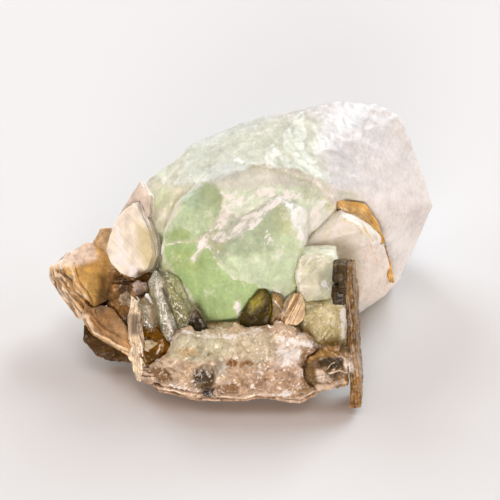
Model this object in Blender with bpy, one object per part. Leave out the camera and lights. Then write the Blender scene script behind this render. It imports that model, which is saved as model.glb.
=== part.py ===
"""Fluorite with mica: one hand specimen, built crystal by crystal.

Sizes are in millimetres, +X to the right, +Y to the back, +Z up. Each crystal is drawn inside a convex
envelope, and its neighbours are cut back from that envelope, so that they meet face to face with a
hairline gap. The whole is moved at the end so that the middle of its base is the origin.
"""

import math
import random
from collections import namedtuple

import bmesh
import bpy
from mathutils import Vector

MM = 0.001
SEAT_GAP = 0.3  # hairline left between two crystals that touch
BASE_CUT = 14.0  # height of the block that cuts the fluorite's flat base at Z = 0
BASE_CUT_REACH = 60.0  # how far that block goes to each side and to the front; it goes twice as far back
FLUORITE_IOR = 1.434

# ------------------------------------------------------------------ fluorite: corner points of its lobes
# The green face that looks down to the front left, over the ledge
FRONT_LOBE = [
    (-16.7, 20.0, 21.3), (-12.1, 17.0, 17.8), (-10.0, 14.8, 14.2), (-4.3, 12.2, 9.7), (-0.9, 11.8, 10.5),
    (4.3, 14.0, 20.4), (-4.3, 15.5, 25.1), (-7.9, 20.0, 28.1), (-16.4, 23.5, 25.2), (-9.0, 18.0, -3.0),
    (0.0, 15.5, -3.0), (6.0, 26.0, 30.0), (-6.0, 29.0, 34.0), (-15.0, 32.0, 29.0), (-17.0, 36.0, 4.0),
    (6.0, 36.0, -3.0), (-12.0, 38.0, -3.0), (-15.0, 26.0, 4.0),
]
# The lighter green face to the right of it
RIGHT_LOBE = [
    (-3.0, 21.5, 28.6), (3.3, 23.0, 31.4), (7.5, 25.0, 34.9), (10.0, 22.0, 32.9), (12.1, 18.0, 26.5),
    (11.0, 15.8, 18.8), (7.5, 14.6, 17.1), (4.1, 13.8, 21.3), (5.8, 16.0, 28.2), (-3.6, 17.0, 26.0),
    (14.0, 30.0, 34.0), (14.0, 26.0, 8.0), (-4.0, 30.0, 30.0), (2.0, 28.0, 8.0), (9.0, 17.5, 12.0),
]
# The dark green boss at the upper left
UPPER_LOBE = [
    (-16.7, 24.5, 25.3), (-13.1, 27.0, 32.7), (-7.9, 29.5, 36.4), (-4.3, 28.5, 35.0), (-4.1, 26.0, 33.5),
    (-6.0, 22.0, 29.2), (-10.0, 21.5, 28.6), (-10.0, 23.5, 33.2), (-6.0, 34.0, 34.0), (-15.0, 34.0, 26.0),
    (-8.0, 32.0, 16.0),
]
# The broad top that slopes to the back
CROWN = [
    (-14.5, 31.0, 32.8), (-2.6, 28.6, 37.0), (2.9, 29.8, 40.0), (12.1, 30.4, 38.0), (18.4, 30.2, 34.6),
    (22.0, 31.4, 30.8), (12.0, 25.8, 33.8), (-1.0, 25.0, 33.4), (-16.4, 38.0, 30.6), (-11.0, 44.5, 34.0),
    (-3.7, 46.5, 36.5), (4.1, 49.5, 37.8), (12.5, 51.0, 38.2), (-14.0, 44.0, 4.0), (8.0, 52.0, 6.0),
    (12.0, 24.0, 8.0), (20.0, 28.0, 6.0), (-6.0, 28.0, 6.0), (-9.0, 43.0, -3.0), (10.0, 48.0, -3.0),
]
REAR_LOBE = [
    (10.0, 50.6, 38.2), (19.4, 55.0, 37.8), (28.9, 57.2, 35.6), (33.6, 56.2, 32.9), (36.3, 52.2, 28.3),
    (38.6, 47.2, 24.0), (40.6, 42.6, 19.0), (37.8, 39.8, 12.2), (33.8, 36.2, 3.0), (22.0, 31.6, 31.6),
    (30.5, 33.0, 21.0), (13.0, 33.0, 37.6), (26.0, 33.0, -4.0), (31.0, 45.0, -4.0), (24.0, 57.5, 5.0),
    (8.0, 51.0, -4.0), (36.0, 50.0, 7.0), (29.0, 60.4, 21.0), (13.0, 58.5, 19.0), (2.0, 50.0, 20.0),
]
LEFT_SHOULDER = [
    (-19.4, 39.8, 29.0), (-22.0, 37.0, 25.0), (-18.4, 27.5, 25.0), (-20.0, 31.0, 9.0), (-21.5, 42.0, 11.0),
    (-14.0, 31.0, 32.6), (-12.0, 43.0, 32.8), (-14.0, 46.5, 14.0), (-12.0, 40.0, -3.0), (-14.0, 28.0, 4.0),
]
CREAM_BLOCK = [
    (20.5, 27.5, 28.2), (13.1, 24.5, 23.0), (13.5, 24.0, 2.0), (24.7, 25.5, 26.6), (24.7, 22.5, 9.6),
    (28.5, 28.0, 22.2), (32.0, 29.5, 8.7), (30.3, 28.0, 6.9), (25.7, 25.0, 7.5), (20.0, 34.0, 28.0),
    (28.0, 34.0, 22.0), (31.0, 36.0, 1.6), (16.0, 34.0, 1.4), (20.6, 23.4, 2.0),
]
PALE_CRYSTAL = [
    (12.1, 18.0, 25.8), (15.9, 18.5, 26.1), (19.0, 18.0, 25.2), (19.9, 17.5, 21.5), (19.4, 16.5, 18.3),
    (18.4, 15.5, 15.6), (13.1, 14.8, 15.7), (11.6, 15.2, 17.9), (11.1, 16.4, 22.4), (15.5, 13.8, 20.5),
    (15.2, 14.6, 23.8), (12.0, 23.0, 24.0), (19.0, 23.0, 24.0), (19.0, 22.0, 15.0), (12.0, 22.0, 15.0),
]
LOWER_BLOCK = [
    (12.5, 13.2, 16.6), (20.6, 13.2, 17.2), (22.4, 11.8, 15.4), (22.4, 9.0, 9.4), (16.0, 8.6, 8.4),
    (12.6, 9.8, 9.0), (12.2, 18.0, 14.6), (21.0, 17.0, 14.6), (21.0, 21.5, 2.2), (12.5, 21.0, 2.2),
]

# ------------------------------------------------------------------------------- quartz, ledge and prisms
# The front edge of the ledge hangs over the floor
LEDGE = [
    (-21.0, 4.9, 4.7), (-17.3, 2.3, 4.4), (-8.9, -0.3, 4.6), (-2.6, -1.3, 4.4), (3.7, -0.7, 4.4),
    (12.1, -1.0, 4.4), (16.3, 1.8, 4.6), (20.5, 3.4, 5.0), (-20.8, 6.4, 7.2), (-15.6, 8.2, 10.0),
    (-13.1, 9.2, 12.6), (-5.8, 8.7, 11.8), (2.6, 9.0, 13.2), (12.1, 8.0, 11.4), (20.0, 7.0, 8.8),
    (-0.5, 3.6, 9.1), (-8.9, 4.4, 8.2), (10.0, 3.6, 8.2), (-16.5, 15.0, 9.0), (19.0, 13.0, 8.0),
    (-16.0, 18.0, 2.4), (18.0, 17.0, 2.4), (6.0, 14.0, 12.4),
]
# The front of the ledge leans back from its foot to its brow: (Y, Z) of the two
LEDGE_FOOT = (0.9, 5.6)
LEDGE_BROW = (9.0, 11.6)
# Rough crystals grown into the ledge: X, how far up its front (0 to 1), radius
LEDGE_LUMPS = [
    (-16.6, 0.36, 2.6), (-13.4, 0.2, 2.4), (-11.6, 0.95, 3.4), (-13.2, 0.6, 2.9), (-8.2, 0.5, 3.3),
    (-6.2, 0.92, 3.0), (-9.4, 0.14, 2.3), (-4.2, 0.22, 2.7), (-3.0, 0.64, 3.1), (-0.8, 1.0, 3.0),
    (1.0, 0.3, 2.8), (3.6, 0.96, 3.5), (4.6, 0.56, 3.0), (6.2, 0.16, 2.5), (8.6, 1.06, 3.4),
    (9.4, 0.48, 3.1), (11.6, 0.16, 2.4), (12.2, 0.84, 3.0), (14.2, 0.58, 2.2),
]
LUMP_CORNERS = 15
LUMP_TURN = 2.4  # from each corner of a lump to the next, in radians: the golden angle
LUMP_SPREAD = (0.82, 1.12)  # how far its corners lie from its middle, for a radius of 1
# A prism: foot, tip, radius across the corners, length of the pointed end
PRISM_SIDES = 6
PRISM_TURN = 15.0  # degrees by which its sides are turned
PRISM_TAPER = 0.92  # its width below the point, as a share of the width at its foot
PRISM_TIP_SHIFT = 0.2  # how far its tip is off centre, as a share of its radius
PRISMS = {
    "quartz_prism_long": ((-14.7, 9.6, 10.6), (-18.1, 17.4, 22.4), 1.9, 2.2),
    "quartz_prism_green": ((-10.9, 10.6, 11.4), (-15.8, 18.2, 21.2), 2.2, 2.4),
    "quartz_prism_short": ((-19.0, 9.8, 12.2), (-19.5, 12.0, 20.6), 1.8, 1.8),
}

# ------------------------------------------------------------------------------------------------- mica
# A book of mica: its centre, the way its sheets face, the way its long side runs, its thickness, its
# number of plates, how far the plates step in, a seed, and the corners of its widest plate, each as
# (along the long side, across it)
Book = namedtuple("Book", "centre facing along thickness plates step seed corners")
BOOKS = {
    "mica_blade": Book(
        (22.85, 8.6, 12.5), (0.99, -0.1, 0.08), (-0.045, 0.53, 0.84), 2.2, 4, 0.25, 55,
        [(-15.0, 3.0), (-14.0, 0.0), (-12.0, -3.0), (-5.0, -3.5), (4.0, -3.5), (10.0, -3.5),
         (15.5, -3.0), (15.5, 0.5), (15.0, 3.0), (8.0, 3.5), (0.0, 3.5), (-8.0, 3.5)],
    ),
    "mica_blade_head": Book(
        (19.9, 13.9, 25.0), (0.99, -0.1, 0.08), (-0.045, 0.53, 0.84), 1.5, 3, 0.2, 56,
        [(-1.5, 2.5), (-2.0, -2.0), (0.0, -2.5), (2.0, -2.0), (2.0, 0.5), (1.5, 2.5), (0.0, 3.0)],
    ),
    "mica_blade_step": Book(
        (19.9, 12.0, 20.5), (0.99, -0.1, 0.08), (-0.045, 0.53, 0.84), 1.9, 3, 0.2, 57,
        [(-1.5, 2.0), (-1.5, -2.5), (0.0, -2.5), (2.0, -2.5), (1.5, 0.0), (2.0, 2.5), (0.0, 2.5)],
    ),
    "mica_book_outer": Book(
        (-33.8, 25.7, 12.6), (0.3, -0.4, 0.86), (-0.75, 0.2, 0.5), 5.6, 5, 0.9, 3,
        [(-6.0, -1.5), (-3.0, -6.5), (0.0, -8.5), (3.5, -7.0), (5.5, -4.0), (7.0, 0.5), (5.5, 2.5),
         (3.0, 4.0), (0.5, 5.0), (-3.0, 6.5), (-5.5, 6.0), (-7.5, 3.0)],
    ),
    "mica_book_middle": Book(
        (-27.3, 30.4, 15.2), (-0.25, -0.75, 0.6), (-0.3, 0.5, 0.8), 4.0, 5, 0.6, 5,
        [(-7.0, -1.0), (-5.5, -3.5), (-0.5, -5.0), (3.0, -5.0), (5.5, -3.0), (6.0, 0.5),
         (4.5, 2.0), (2.5, 4.0), (0.0, 5.0), (-3.0, 4.0), (-5.5, 2.0)],
    ),
    "mica_slab_lower": Book(
        (-27.6, 14.9, 8.4), (0.1, -0.35, 0.93), (0.8, -0.4, -0.3), 2.2, 3, 0.5, 8,
        [(-5.5, -1.0), (-2.5, -2.5), (1.0, -2.5), (5.0, -2.5), (8.0, -2.5), (6.0, 0.5), (2.5, 2.5),
         (-1.5, 4.0), (-5.0, 3.0), (-7.5, 1.5)],
    ),
    "mica_book_under": Book(
        (-28.3, 14.5, 4.7), (-0.1, -0.75, 0.6), (0.95, -0.1, 0.1), 3.6, 4, 0.4, 13,
        [(-3.5, -0.5), (-2.0, -2.5), (1.0, -3.5), (6.5, -4.0), (6.5, -1.0), (2.5, 1.0),
         (-1.5, 4.5), (-4.5, 5.0), (-4.5, 1.0)],
    ),
    "mica_book_inner": Book(
        (-23.5, 19.9, 10.8), (-0.35, -0.8, 0.45), (0.1, 0.3, 0.95), 3.6, 4, 0.5, 21,
        [(-6.5, -1.0), (-5.0, -2.5), (-0.5, -2.0), (3.5, -4.0), (6.0, -2.5), (5.5, 0.5),
         (4.0, 4.5), (-1.5, 4.5), (-4.5, 2.0)],
    ),
    "mica_book_pearl": Book(
        (-22.6, 26.7, 21.9), (-0.5, -0.66, 0.56), (0.05, 0.6, 0.8), 3.4, 4, 0.5, 34,
        [(-7.0, -1.5), (-5.0, -5.0), (-2.0, -6.0), (1.5, -5.0), (5.5, -3.0), (8.5, -1.0),
         (7.0, 1.5), (4.5, 3.5), (1.0, 5.0), (-2.0, 5.5), (-4.5, 4.0), (-6.5, 1.5)],
    ),
    "mica_sheet_back": Book(
        (-22.5, 30.8, 26.0), (-0.55, -0.6, 0.58), (0.3, 0.5, 0.8), 1.2, 2, 0.3, 44,
        [(-4.0, -3.0), (1.0, -4.0), (5.0, -3.0), (7.0, 0.5), (2.5, 2.0), (-1.0, 3.0), (-4.5, 4.0),
         (-6.0, 0.5)],
    ),
    "mica_seam_fan": Book(
        (24.3, 30.5, 25.2), (0.42, -0.7, 0.58), (0.42, 0, -0.9), 1.2, 2, 0.2, 89,
        [(-7.5, -2.0), (-3.5, -2.0), (1.5, -2.0), (6.0, -1.0), (7.5, 1.0), (2.5, 2.5), (-1.5, 3.0),
         (-4.5, 0.5)],
    ),
    "mica_seam_tail": Book(
        (30.5, 30.5, 13.1), (0.42, -0.7, 0.58), (0.42, 0, -0.9), 1.2, 2, 0.15, 90,
        [(-0.5, -1.0), (3.5, -2.5), (4.5, -1.5), (0.5, 1.0), (-3.0, 2.5), (-4.5, 1.0)],
    ),
    "mica_book_olive": Book(
        (3.1, 13.0, 14.5), (-0.35, -0.82, 0.45), (0.1, 0.2, 0.97), 2.4, 4, 0.25, 144,
        [(-2.5, -2.5), (0.5, -3.0), (4.0, -2.0), (5.5, 0.0), (2.5, 1.5), (-1.0, 3.0), (-4.5, 2.5),
         (-4.5, 0.5)],
    ),
    "mica_book_streaked": Book(
        (6.9, 13.4, 14.6), (0.1, -0.85, 0.5), (0.1, 0.2, 0.97), 1.8, 3, 0.2, 150,
        [(-3.0, -1.0), (-0.5, -1.5), (3.0, -1.0), (4.0, 1.0), (0.0, 1.0), (-3.5, 1.5)],
    ),
    "mica_book_tan": Book(
        (10.3, 12.7, 15.9), (0.45, -0.7, 0.55), (0.35, 0.35, 0.87), 1.8, 3, 0.3, 233,
        [(-3.0, -1.0), (-1.0, -2.5), (1.5, -2.0), (3.5, -0.5), (3.0, 0.5), (1.5, 1.5), (-1.5, 2.0),
         (-3.5, 1.5)],
    ),
    "mica_book_dark": Book(
        (-9.3, 11.2, 13.3), (0.15, -0.9, 0.4), (0.1, 0.2, 0.97), 1.6, 2, 0.2, 377,
        [(-2.5, -0.5), (-1.5, -2.5), (1.5, -1.0), (3.5, 0.5), (1.5, 1.5), (-2.5, 2.0)],
    ),
    "mica_pocket": Book(
        (-18.2, 8.0, 9.7), (0.25, -0.8, 0.55), (0.9, 0.3, 0.2), 2.0, 3, 0.5, 400,
        [(-3.5, -0.5), (-2.5, -3.5), (1.0, -4.5), (3.5, -3.0), (3.0, 0.5), (2.0, 3.5), (-0.5, 5.5),
         (-2.5, 2.5)],
    ),
    "mica_patch_right": Book(
        (18.4, 4.3, 7.3), (0.2, -0.7, 0.68), (0.9, 0.3, 0.2), 2.4, 4, 0.4, 1597,
        [(-4.5, -3.0), (0.0, -4.0), (4.0, -3.5), (5.5, -0.5), (4.0, 2.5), (0.5, 4.5), (-4.0, 3.5),
         (-6.0, 0.5)],
    ),
    "mica_rim": Book(
        (-22.3, 9.2, 10.7), (-0.93, -0.35, 0.1), (-0.05, 0.45, 0.89), 1.8, 3, 0.25, 610,
        [(-9.5, 2.0), (-9.0, -1.5), (-6.0, -3.0), (0.0, -3.5), (6.0, -3.0), (9.0, -1.5),
         (9.5, 1.5), (5.0, 3.0), (0.0, 3.5), (-5.0, 3.5)],
    ),
    "mica_sole": Book(
        (-1.0, 5.4, 2.7), (0.0, -0.11, -0.99), (1.0, 0.0, 0.0), 1.2, 2, 0.3, 987,
        [(-18.0, 0.0), (-16.5, 2.8), (-8.0, 5.4), (-1.5, 6.2), (4.5, 5.6), (13.0, 6.0), (17.5, 3.0),
         (18.5, -0.5), (15.0, -5.0), (1.0, -6.5), (-11.0, -6.0), (-17.5, -3.5)],
    ),
    "mica_book_rear": Book(
        (-13.0, 46.0, 12.0), (-0.45, 0.88, 0.1), (0.2, 0.1, 0.97), 3.6, 4, 0.7, 2584,
        [(-8.5, -2.0), (-7.5, -5.5), (-2.0, -7.0), (3.5, -6.0), (7.5, -4.5), (9.0, 0.5), (7.0, 4.5),
         (2.5, 6.5), (-3.0, 6.0), (-7.5, 4.0)],
    ),
}
GROOVE = 0.35  # how far the grooves between a book's plates are cut in
GROOVE_HEIGHT = 0.35  # height of a groove, for a plate of height 1


SMALLEST_CHIP = 0.5  # a corner that stands out less than this keeps its point
CHIP_SHARE = 0.6  # a chip takes at most this share of the way to the next corner


# ------------------------------------------------------------------------------------------ mesh helpers
def scaled(points):
    return [Vector(point) * MM for point in points]


def hull_mesh(points):
    """The convex solid whose corners are these points, given in metres."""
    mesh = bmesh.new()
    for point in points:
        mesh.verts.new(point)
    made = bmesh.ops.convex_hull(mesh, input=mesh.verts)
    spare = set(made["geom_interior"]) | set(made["geom_unused"])
    bmesh.ops.delete(mesh, geom=[v for v in spare if isinstance(v, bmesh.types.BMVert)], context="VERTS")
    bmesh.ops.recalc_face_normals(mesh, faces=mesh.faces)
    return mesh


def slice_off(mesh, point, normal):
    """Cuts away what lies beyond a plane, and closes the cut with a flat face."""
    geometry = mesh.verts[:] + mesh.edges[:] + mesh.faces[:]
    cut = bmesh.ops.bisect_plane(mesh, geom=geometry, plane_co=point, plane_no=normal, clear_outer=True)
    rim = [edge for edge in cut["geom_cut"] if isinstance(edge, bmesh.types.BMEdge)]
    if rim:
        bmesh.ops.contextual_create(mesh, geom=rim)


def chip_corners(mesh, count, depth, seed):
    """Breaks flat chips off a convex solid's corners, as cleavage does, and never past the next corner."""
    rng = random.Random(seed)
    for _ in range(count):
        corner = rng.choice(sorted(mesh.verts, key=lambda v: (v.co.x, v.co.y, v.co.z)))
        around = [edge.other_vert(corner).co for edge in corner.link_edges]
        middle = sum(around, Vector()) / len(around)
        lean = Vector((rng.uniform(-0.4, 0.4), rng.uniform(-0.4, 0.4), rng.uniform(-0.4, 0.4)))
        normal = ((corner.co - middle).normalized() + lean).normalized()
        room = min((corner.co - place).dot(normal) for place in around)
        if room > SMALLEST_CHIP * MM:
            cut = min(rng.uniform(0.4, 1.0) * depth * MM, CHIP_SHARE * room)
            slice_off(mesh, corner.co - normal * cut, normal)
    bmesh.ops.recalc_face_normals(mesh, faces=mesh.faces)


def grown(points, gap):
    """The corners of the solid that holds these points with this much room round them."""
    reach = gap * MM
    steps = [Vector((x, y, z)) for x in (-reach, reach) for y in (-reach, reach) for z in (-reach, reach)]
    return [point + step for point in points for step in steps]


def bounds_of(points):
    return [(min(p[axis] for p in points), max(p[axis] for p in points)) for axis in range(3)]


def boxes_meet(first, second):
    return all(a[0] < b[1] and b[0] < a[1] for a, b in zip(bounds_of(first), bounds_of(second), strict=True))


def make_material(name, colour, roughness, transmission=0.0):
    material = bpy.data.materials.new(name)
    material.use_nodes = True
    surface = material.node_tree.nodes["Principled BSDF"]
    surface.inputs["Base Color"].default_value = (*colour, 1.0)
    surface.inputs["Roughness"].default_value = roughness
    surface.inputs["Transmission Weight"].default_value = transmission
    surface.inputs["IOR"].default_value = FLUORITE_IOR
    material.diffuse_color = (*colour, 1.0)
    return material


class Specimen:
    """The pieces made so far. A new piece is cut back from the envelope of each earlier one it meets."""

    def __init__(self):
        self.root = bpy.data.objects.new("specimen", None)
        bpy.context.scene.collection.objects.link(self.root)
        self.envelopes = []

    def link(self, name, mesh):
        data = bpy.data.meshes.new(name)
        mesh.to_mesh(data)
        mesh.free()
        made = bpy.data.objects.new(name, data)
        bpy.context.scene.collection.objects.link(made)
        made.parent = self.root
        return made

    def helper(self, name, mesh):
        made = self.link(name, mesh)
        made.hide_render = True
        made.display_type = "WIRE"
        return made

    def combine(self, target, other, operation):
        modifier = target.modifiers.new(f"{operation.lower()} {other.name}", "BOOLEAN")
        modifier.operation = operation
        modifier.object = other
        modifier.solver = "EXACT"

    def add(self, name, mesh, material, lobes=()):
        """Adds one piece, made of a mesh and any further lobes grown into it, and seats it."""
        points = [vert.co.copy() for vert in mesh.verts]
        piece = self.link(name, mesh)
        piece.data.materials.append(material)
        for number, lobe in enumerate(lobes):
            points += [vert.co.copy() for vert in lobe.verts]
            self.combine(piece, self.helper(f"{name} lobe {number}", lobe), "UNION")
        for envelope, corners in self.envelopes:
            if boxes_meet(points, corners):
                self.combine(piece, envelope, "DIFFERENCE")
        corners = grown(points, SEAT_GAP)
        self.envelopes.append((self.helper(f"{name} seat", hull_mesh(corners)), corners))
        return piece

    def centre_on_base(self):
        """Moves the whole so that the middle of its bounding box's floor is the origin."""
        bpy.context.view_layer.update()
        graph = bpy.context.evaluated_depsgraph_get()
        corners = []
        for piece in self.root.children:
            if not piece.hide_render:
                shown = piece.evaluated_get(graph).data
                corners += [vert.co.copy() for vert in shown.vertices]
        (x_low, x_high), (y_low, y_high), (z_low, _) = bounds_of(corners)
        self.root.location = (-(x_low + x_high) / 2, -(y_low + y_high) / 2, -z_low)


# ------------------------------------------------------------------------------------------ the crystals
def crystal_mesh(points, chips, depth, seed):
    mesh = hull_mesh(scaled(points))
    chip_corners(mesh, chips, depth, seed)
    return mesh


def prism_mesh(foot, tip, radius, point_length):
    """A six-sided quartz prism, broken flat at its foot, with an off-centre point at its tip."""
    foot, tip = Vector(foot), Vector(tip)
    along = (tip - foot).normalized()
    side = along.orthogonal().normalized()
    other = along.cross(side)
    shoulder = tip - along * point_length
    points = [tip + side * PRISM_TIP_SHIFT * radius]
    for number in range(PRISM_SIDES):
        angle = math.radians(360 / PRISM_SIDES * number + PRISM_TURN)
        out = (side * math.cos(angle) + other * math.sin(angle)) * radius
        points += [foot + out, shoulder + out * PRISM_TAPER]
    return hull_mesh(scaled(points))


def book_reaches(rng, book):
    """How far each plate reaches at each corner: less and less away from the middle plate."""
    count = len(book.corners)
    middle = rng.randrange(book.plates)
    reaches = {middle: [0.0] * count}
    for numbers in (range(middle + 1, book.plates), range(middle - 1, -1, -1)):
        inset = [0.0] * count
        bold = rng.uniform(0, 2 * math.pi)
        for plate in numbers:
            for corner in range(count):
                turn = 2 * math.pi * corner / count - bold
                inset[corner] += book.step * (0.15 + rng.uniform(0.1, 0.9) * (1 + math.cos(turn)) / 2)
            reaches[plate] = list(inset)
    return [reaches[plate] for plate in range(book.plates)]


def book_mesh(book):
    """A mica book: ragged plates that step inwards from a middle plate, with a groove between each two."""
    rng = random.Random(book.seed)
    facing = Vector(book.facing).normalized()
    along = Vector(book.along)
    along = (along - facing * along.dot(facing)).normalized()
    across = facing.cross(along)
    insets = book_reaches(rng, book)
    layers = []
    for plate, inset in enumerate(insets):
        layers.append((1.0, inset))
        if plate + 1 < book.plates:
            deeper = [max(pair) + GROOVE for pair in zip(inset, insets[plate + 1], strict=True)]
            layers.append((GROOVE_HEIGHT, deeper))
    mesh = bmesh.new()
    rings = []
    level = 0.0
    total = sum(height for height, _ in layers)
    for height, inset in layers:
        for edge in (level, level + height):
            base = Vector(book.centre) + facing * book.thickness * (edge / total - 0.5)
            ring = []
            for (a, b), depth in zip(book.corners, inset, strict=True):
                kept = 1.0 - depth / math.hypot(a, b)
                ring.append(mesh.verts.new((base + (along * a + across * b) * kept) * MM))
            rings.append(ring)
        level += height
    count = len(book.corners)
    for lower, upper in zip(rings, rings[1:]):
        for number in range(count):
            after = (number + 1) % count
            mesh.faces.new((lower[number], lower[after], upper[after], upper[number]))
    mesh.faces.new(reversed(rings[0]))
    mesh.faces.new(rings[-1])
    bmesh.ops.recalc_face_normals(mesh, faces=mesh.faces)
    return mesh


def lump_mesh(x, up, radius, seed):
    """One rough crystal: the solid round a few points strewn over a ball."""
    rng = random.Random(seed)
    y, z = (foot + (brow - foot) * up for foot, brow in zip(LEDGE_FOOT, LEDGE_BROW, strict=True))
    centre = Vector((x, y, z))
    points = []
    for number in range(LUMP_CORNERS):
        height = 1 - (2 * number + 1) / LUMP_CORNERS
        turn = LUMP_TURN * number + rng.uniform(-0.5, 0.5)
        flat = math.sqrt(1 - height * height)
        way = Vector((flat * math.cos(turn), flat * math.sin(turn), height))
        points.append(centre + way * radius * rng.uniform(*LUMP_SPREAD))
    return hull_mesh(scaled(points))


def base_block():
    """The block that cuts the fluorite off flat at the floor."""
    reach = BASE_CUT_REACH
    points = [(x, y, z) for x in (-reach, reach) for y in (-reach, 2 * reach) for z in (-BASE_CUT, 0.0)]
    return hull_mesh(scaled(points))


def build():
    for leftover in list(bpy.data.objects):
        bpy.data.objects.remove(leftover)
    green = make_material("green fluorite", (0.62, 0.78, 0.58), 0.15, 0.8)
    pale = make_material("pale fluorite", (0.78, 0.82, 0.66), 0.15, 0.8)
    cream = make_material("cream fluorite", (0.9, 0.8, 0.66), 0.2, 0.6)
    quartz = make_material("clear quartz", (0.75, 0.76, 0.7), 0.15, 0.8)
    granular = make_material("granular quartz", (0.72, 0.62, 0.5), 0.7)
    brown = make_material("brown mica", (0.36, 0.23, 0.1), 0.4)
    gold = make_material("golden mica", (0.72, 0.5, 0.22), 0.35)
    pearl = make_material("pearly mica", (0.86, 0.76, 0.6), 0.3)
    book_materials = {"mica_book_pearl": pearl, "mica_sheet_back": pearl, "mica_pocket": gold}
    for name in ("mica_seam_fan", "mica_seam_tail", "mica_book_tan", "mica_book_outer"):
        book_materials[name] = gold

    specimen = Specimen()
    for name, book in BOOKS.items():
        specimen.add(name, book_mesh(book), book_materials.get(name, brown))
    for name, shape in PRISMS.items():
        specimen.add(name, prism_mesh(*shape), quartz)
    specimen.add("fluorite_pale_crystal", crystal_mesh(PALE_CRYSTAL, 5, 0.8, 2), pale)
    specimen.add("fluorite_lower_block", crystal_mesh(LOWER_BLOCK, 4, 0.7, 6), pale)
    specimen.add("fluorite_cream_block", crystal_mesh(CREAM_BLOCK, 3, 0.8, 9), cream)
    lumps = [lump_mesh(*lump, seed) for seed, lump in enumerate(LEDGE_LUMPS)]
    specimen.add("quartz_ledge", crystal_mesh(LEDGE, 10, 1.2, 4), granular, lumps)
    lobes = [crystal_mesh(CROWN, 8, 0.7, 11), crystal_mesh(REAR_LOBE, 10, 0.8, 12)]
    lobes += [crystal_mesh(LEFT_SHOULDER, 5, 0.8, 14), crystal_mesh(RIGHT_LOBE, 4, 0.5, 15)]
    lobes.append(crystal_mesh(UPPER_LOBE, 3, 0.5, 16))
    mass = specimen.add("fluorite_mass", crystal_mesh(FRONT_LOBE, 6, 0.8, 10), green, lobes)
    specimen.combine(mass, specimen.helper("base block", base_block()), "DIFFERENCE")
    specimen.centre_on_base()


build()
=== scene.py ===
import math
from collections import namedtuple

import bmesh
import bpy
import numpy as np
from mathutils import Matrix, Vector


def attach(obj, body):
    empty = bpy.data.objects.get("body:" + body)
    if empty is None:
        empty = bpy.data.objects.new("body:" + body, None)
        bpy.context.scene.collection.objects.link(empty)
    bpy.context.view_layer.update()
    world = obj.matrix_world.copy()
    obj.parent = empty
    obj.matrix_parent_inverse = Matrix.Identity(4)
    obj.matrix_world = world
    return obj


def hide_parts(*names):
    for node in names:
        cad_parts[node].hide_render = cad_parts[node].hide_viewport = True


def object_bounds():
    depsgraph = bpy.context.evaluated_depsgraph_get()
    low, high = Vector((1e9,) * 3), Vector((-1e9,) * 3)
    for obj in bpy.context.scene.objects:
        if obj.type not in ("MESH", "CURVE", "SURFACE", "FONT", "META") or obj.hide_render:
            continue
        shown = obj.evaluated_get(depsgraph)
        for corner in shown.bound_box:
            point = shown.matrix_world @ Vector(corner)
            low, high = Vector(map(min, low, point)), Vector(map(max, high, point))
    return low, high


# The looks of the fluorite with mica specimen. Lengths are in millimetres and turned into metres by MM.
# Every visible piece is built from the solid of a node of the frame, which it then replaces; a few small
# lumps rest on those pieces. Markings are placed by where they are seen from the camera, in pixels of a
# picture PICTURE_SIDE wide, and are then fixed to the points of the mesh.

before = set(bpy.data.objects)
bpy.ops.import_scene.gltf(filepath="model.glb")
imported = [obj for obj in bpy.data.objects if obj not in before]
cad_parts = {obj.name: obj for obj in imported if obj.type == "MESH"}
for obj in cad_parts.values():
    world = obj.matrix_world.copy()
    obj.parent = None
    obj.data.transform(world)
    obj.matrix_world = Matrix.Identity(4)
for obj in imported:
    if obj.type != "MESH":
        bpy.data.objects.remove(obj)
CAD_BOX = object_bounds()

MM = 0.001

# -------- view and stage
VIEW_TARGET = np.array((1.63, 0.8, 17.2))
VIEW_ELEVATION = math.radians(40.0)
VIEW_DISTANCE = 500.0
VIEW_WIDTH = 105.0  # width of the field at the target
VIEW_AWAY = np.array((0.0, -math.cos(VIEW_ELEVATION), math.sin(VIEW_ELEVATION)))
VIEW_RIGHT = np.array((1.0, 0.0, 0.0))
VIEW_UP = np.cross(VIEW_AWAY, VIEW_RIGHT)
PICTURE_SIDE = 500
PIXEL = VIEW_WIDTH / PICTURE_SIDE
SENSOR = 36.0
NEAREST_SEEN = 10.0

FLOOR_HALF = 600.0
FLOOR_DROP = 0.02  # the floor lies this far under the specimen
FLOOR_COLOUR = (0.62, 0.62, 0.62)
SKY_COLOUR = (1.0, 0.38, 0.1)  # warms the shadows
SKY_STRENGTH = 0.33
LAMP_DISTANCE = 5000.0
LAMP_SIZE = 2800.0
LAMP_AIM = 15.0  # the height that the lamps look at
COOL = (0.79, 0.91, 0.98)
WARM = (1.0, 0.965, 0.92)
LAMPS = (  # name, azimuth (0 is the camera's side, 90 the right), elevation, watts, colour
    ("top", 180.0, 80.0, 54.0, COOL),
    ("front", -5.0, 13.0, 180.0, WARM),
    ("back right", 144.0, 32.0, 262.0, COOL),
    ("back left", -144.0, 32.0, 176.0, COOL),
    ("right", 95.0, 35.0, 48.0, COOL),
    ("left", -95.0, 35.0, 40.0, COOL),
)

# -------- markings
# Outlines and paths are written as in SVG: x,y x,y and so on, from the picture's top left corner.
# A patch is a soft-edged area inside an outline: its colour, how strongly it covers, the softness of its
# edge in pixels, how milky it is (None leaves that as it is) and how far it stands out (negative: is sunk)
Patch = namedtuple("Patch", "outline colour cover soft veil rise", defaults=(None, 0.0))
# A streak is a soft line along a path: its half width in pixels, colour, cover, milkiness and rise
Streak = namedtuple("Streak", "path width colour cover veil rise", defaults=(None, 0.0))

GREEN = (0.61, 0.8, 0.51)
DEEP_GREEN = (0.51, 0.73, 0.33)
LIGHT_GREEN = (0.70, 0.87, 0.59)
MILK = (0.93, 0.89, 0.84)
WHITE = (0.98, 0.96, 0.94)

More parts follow.
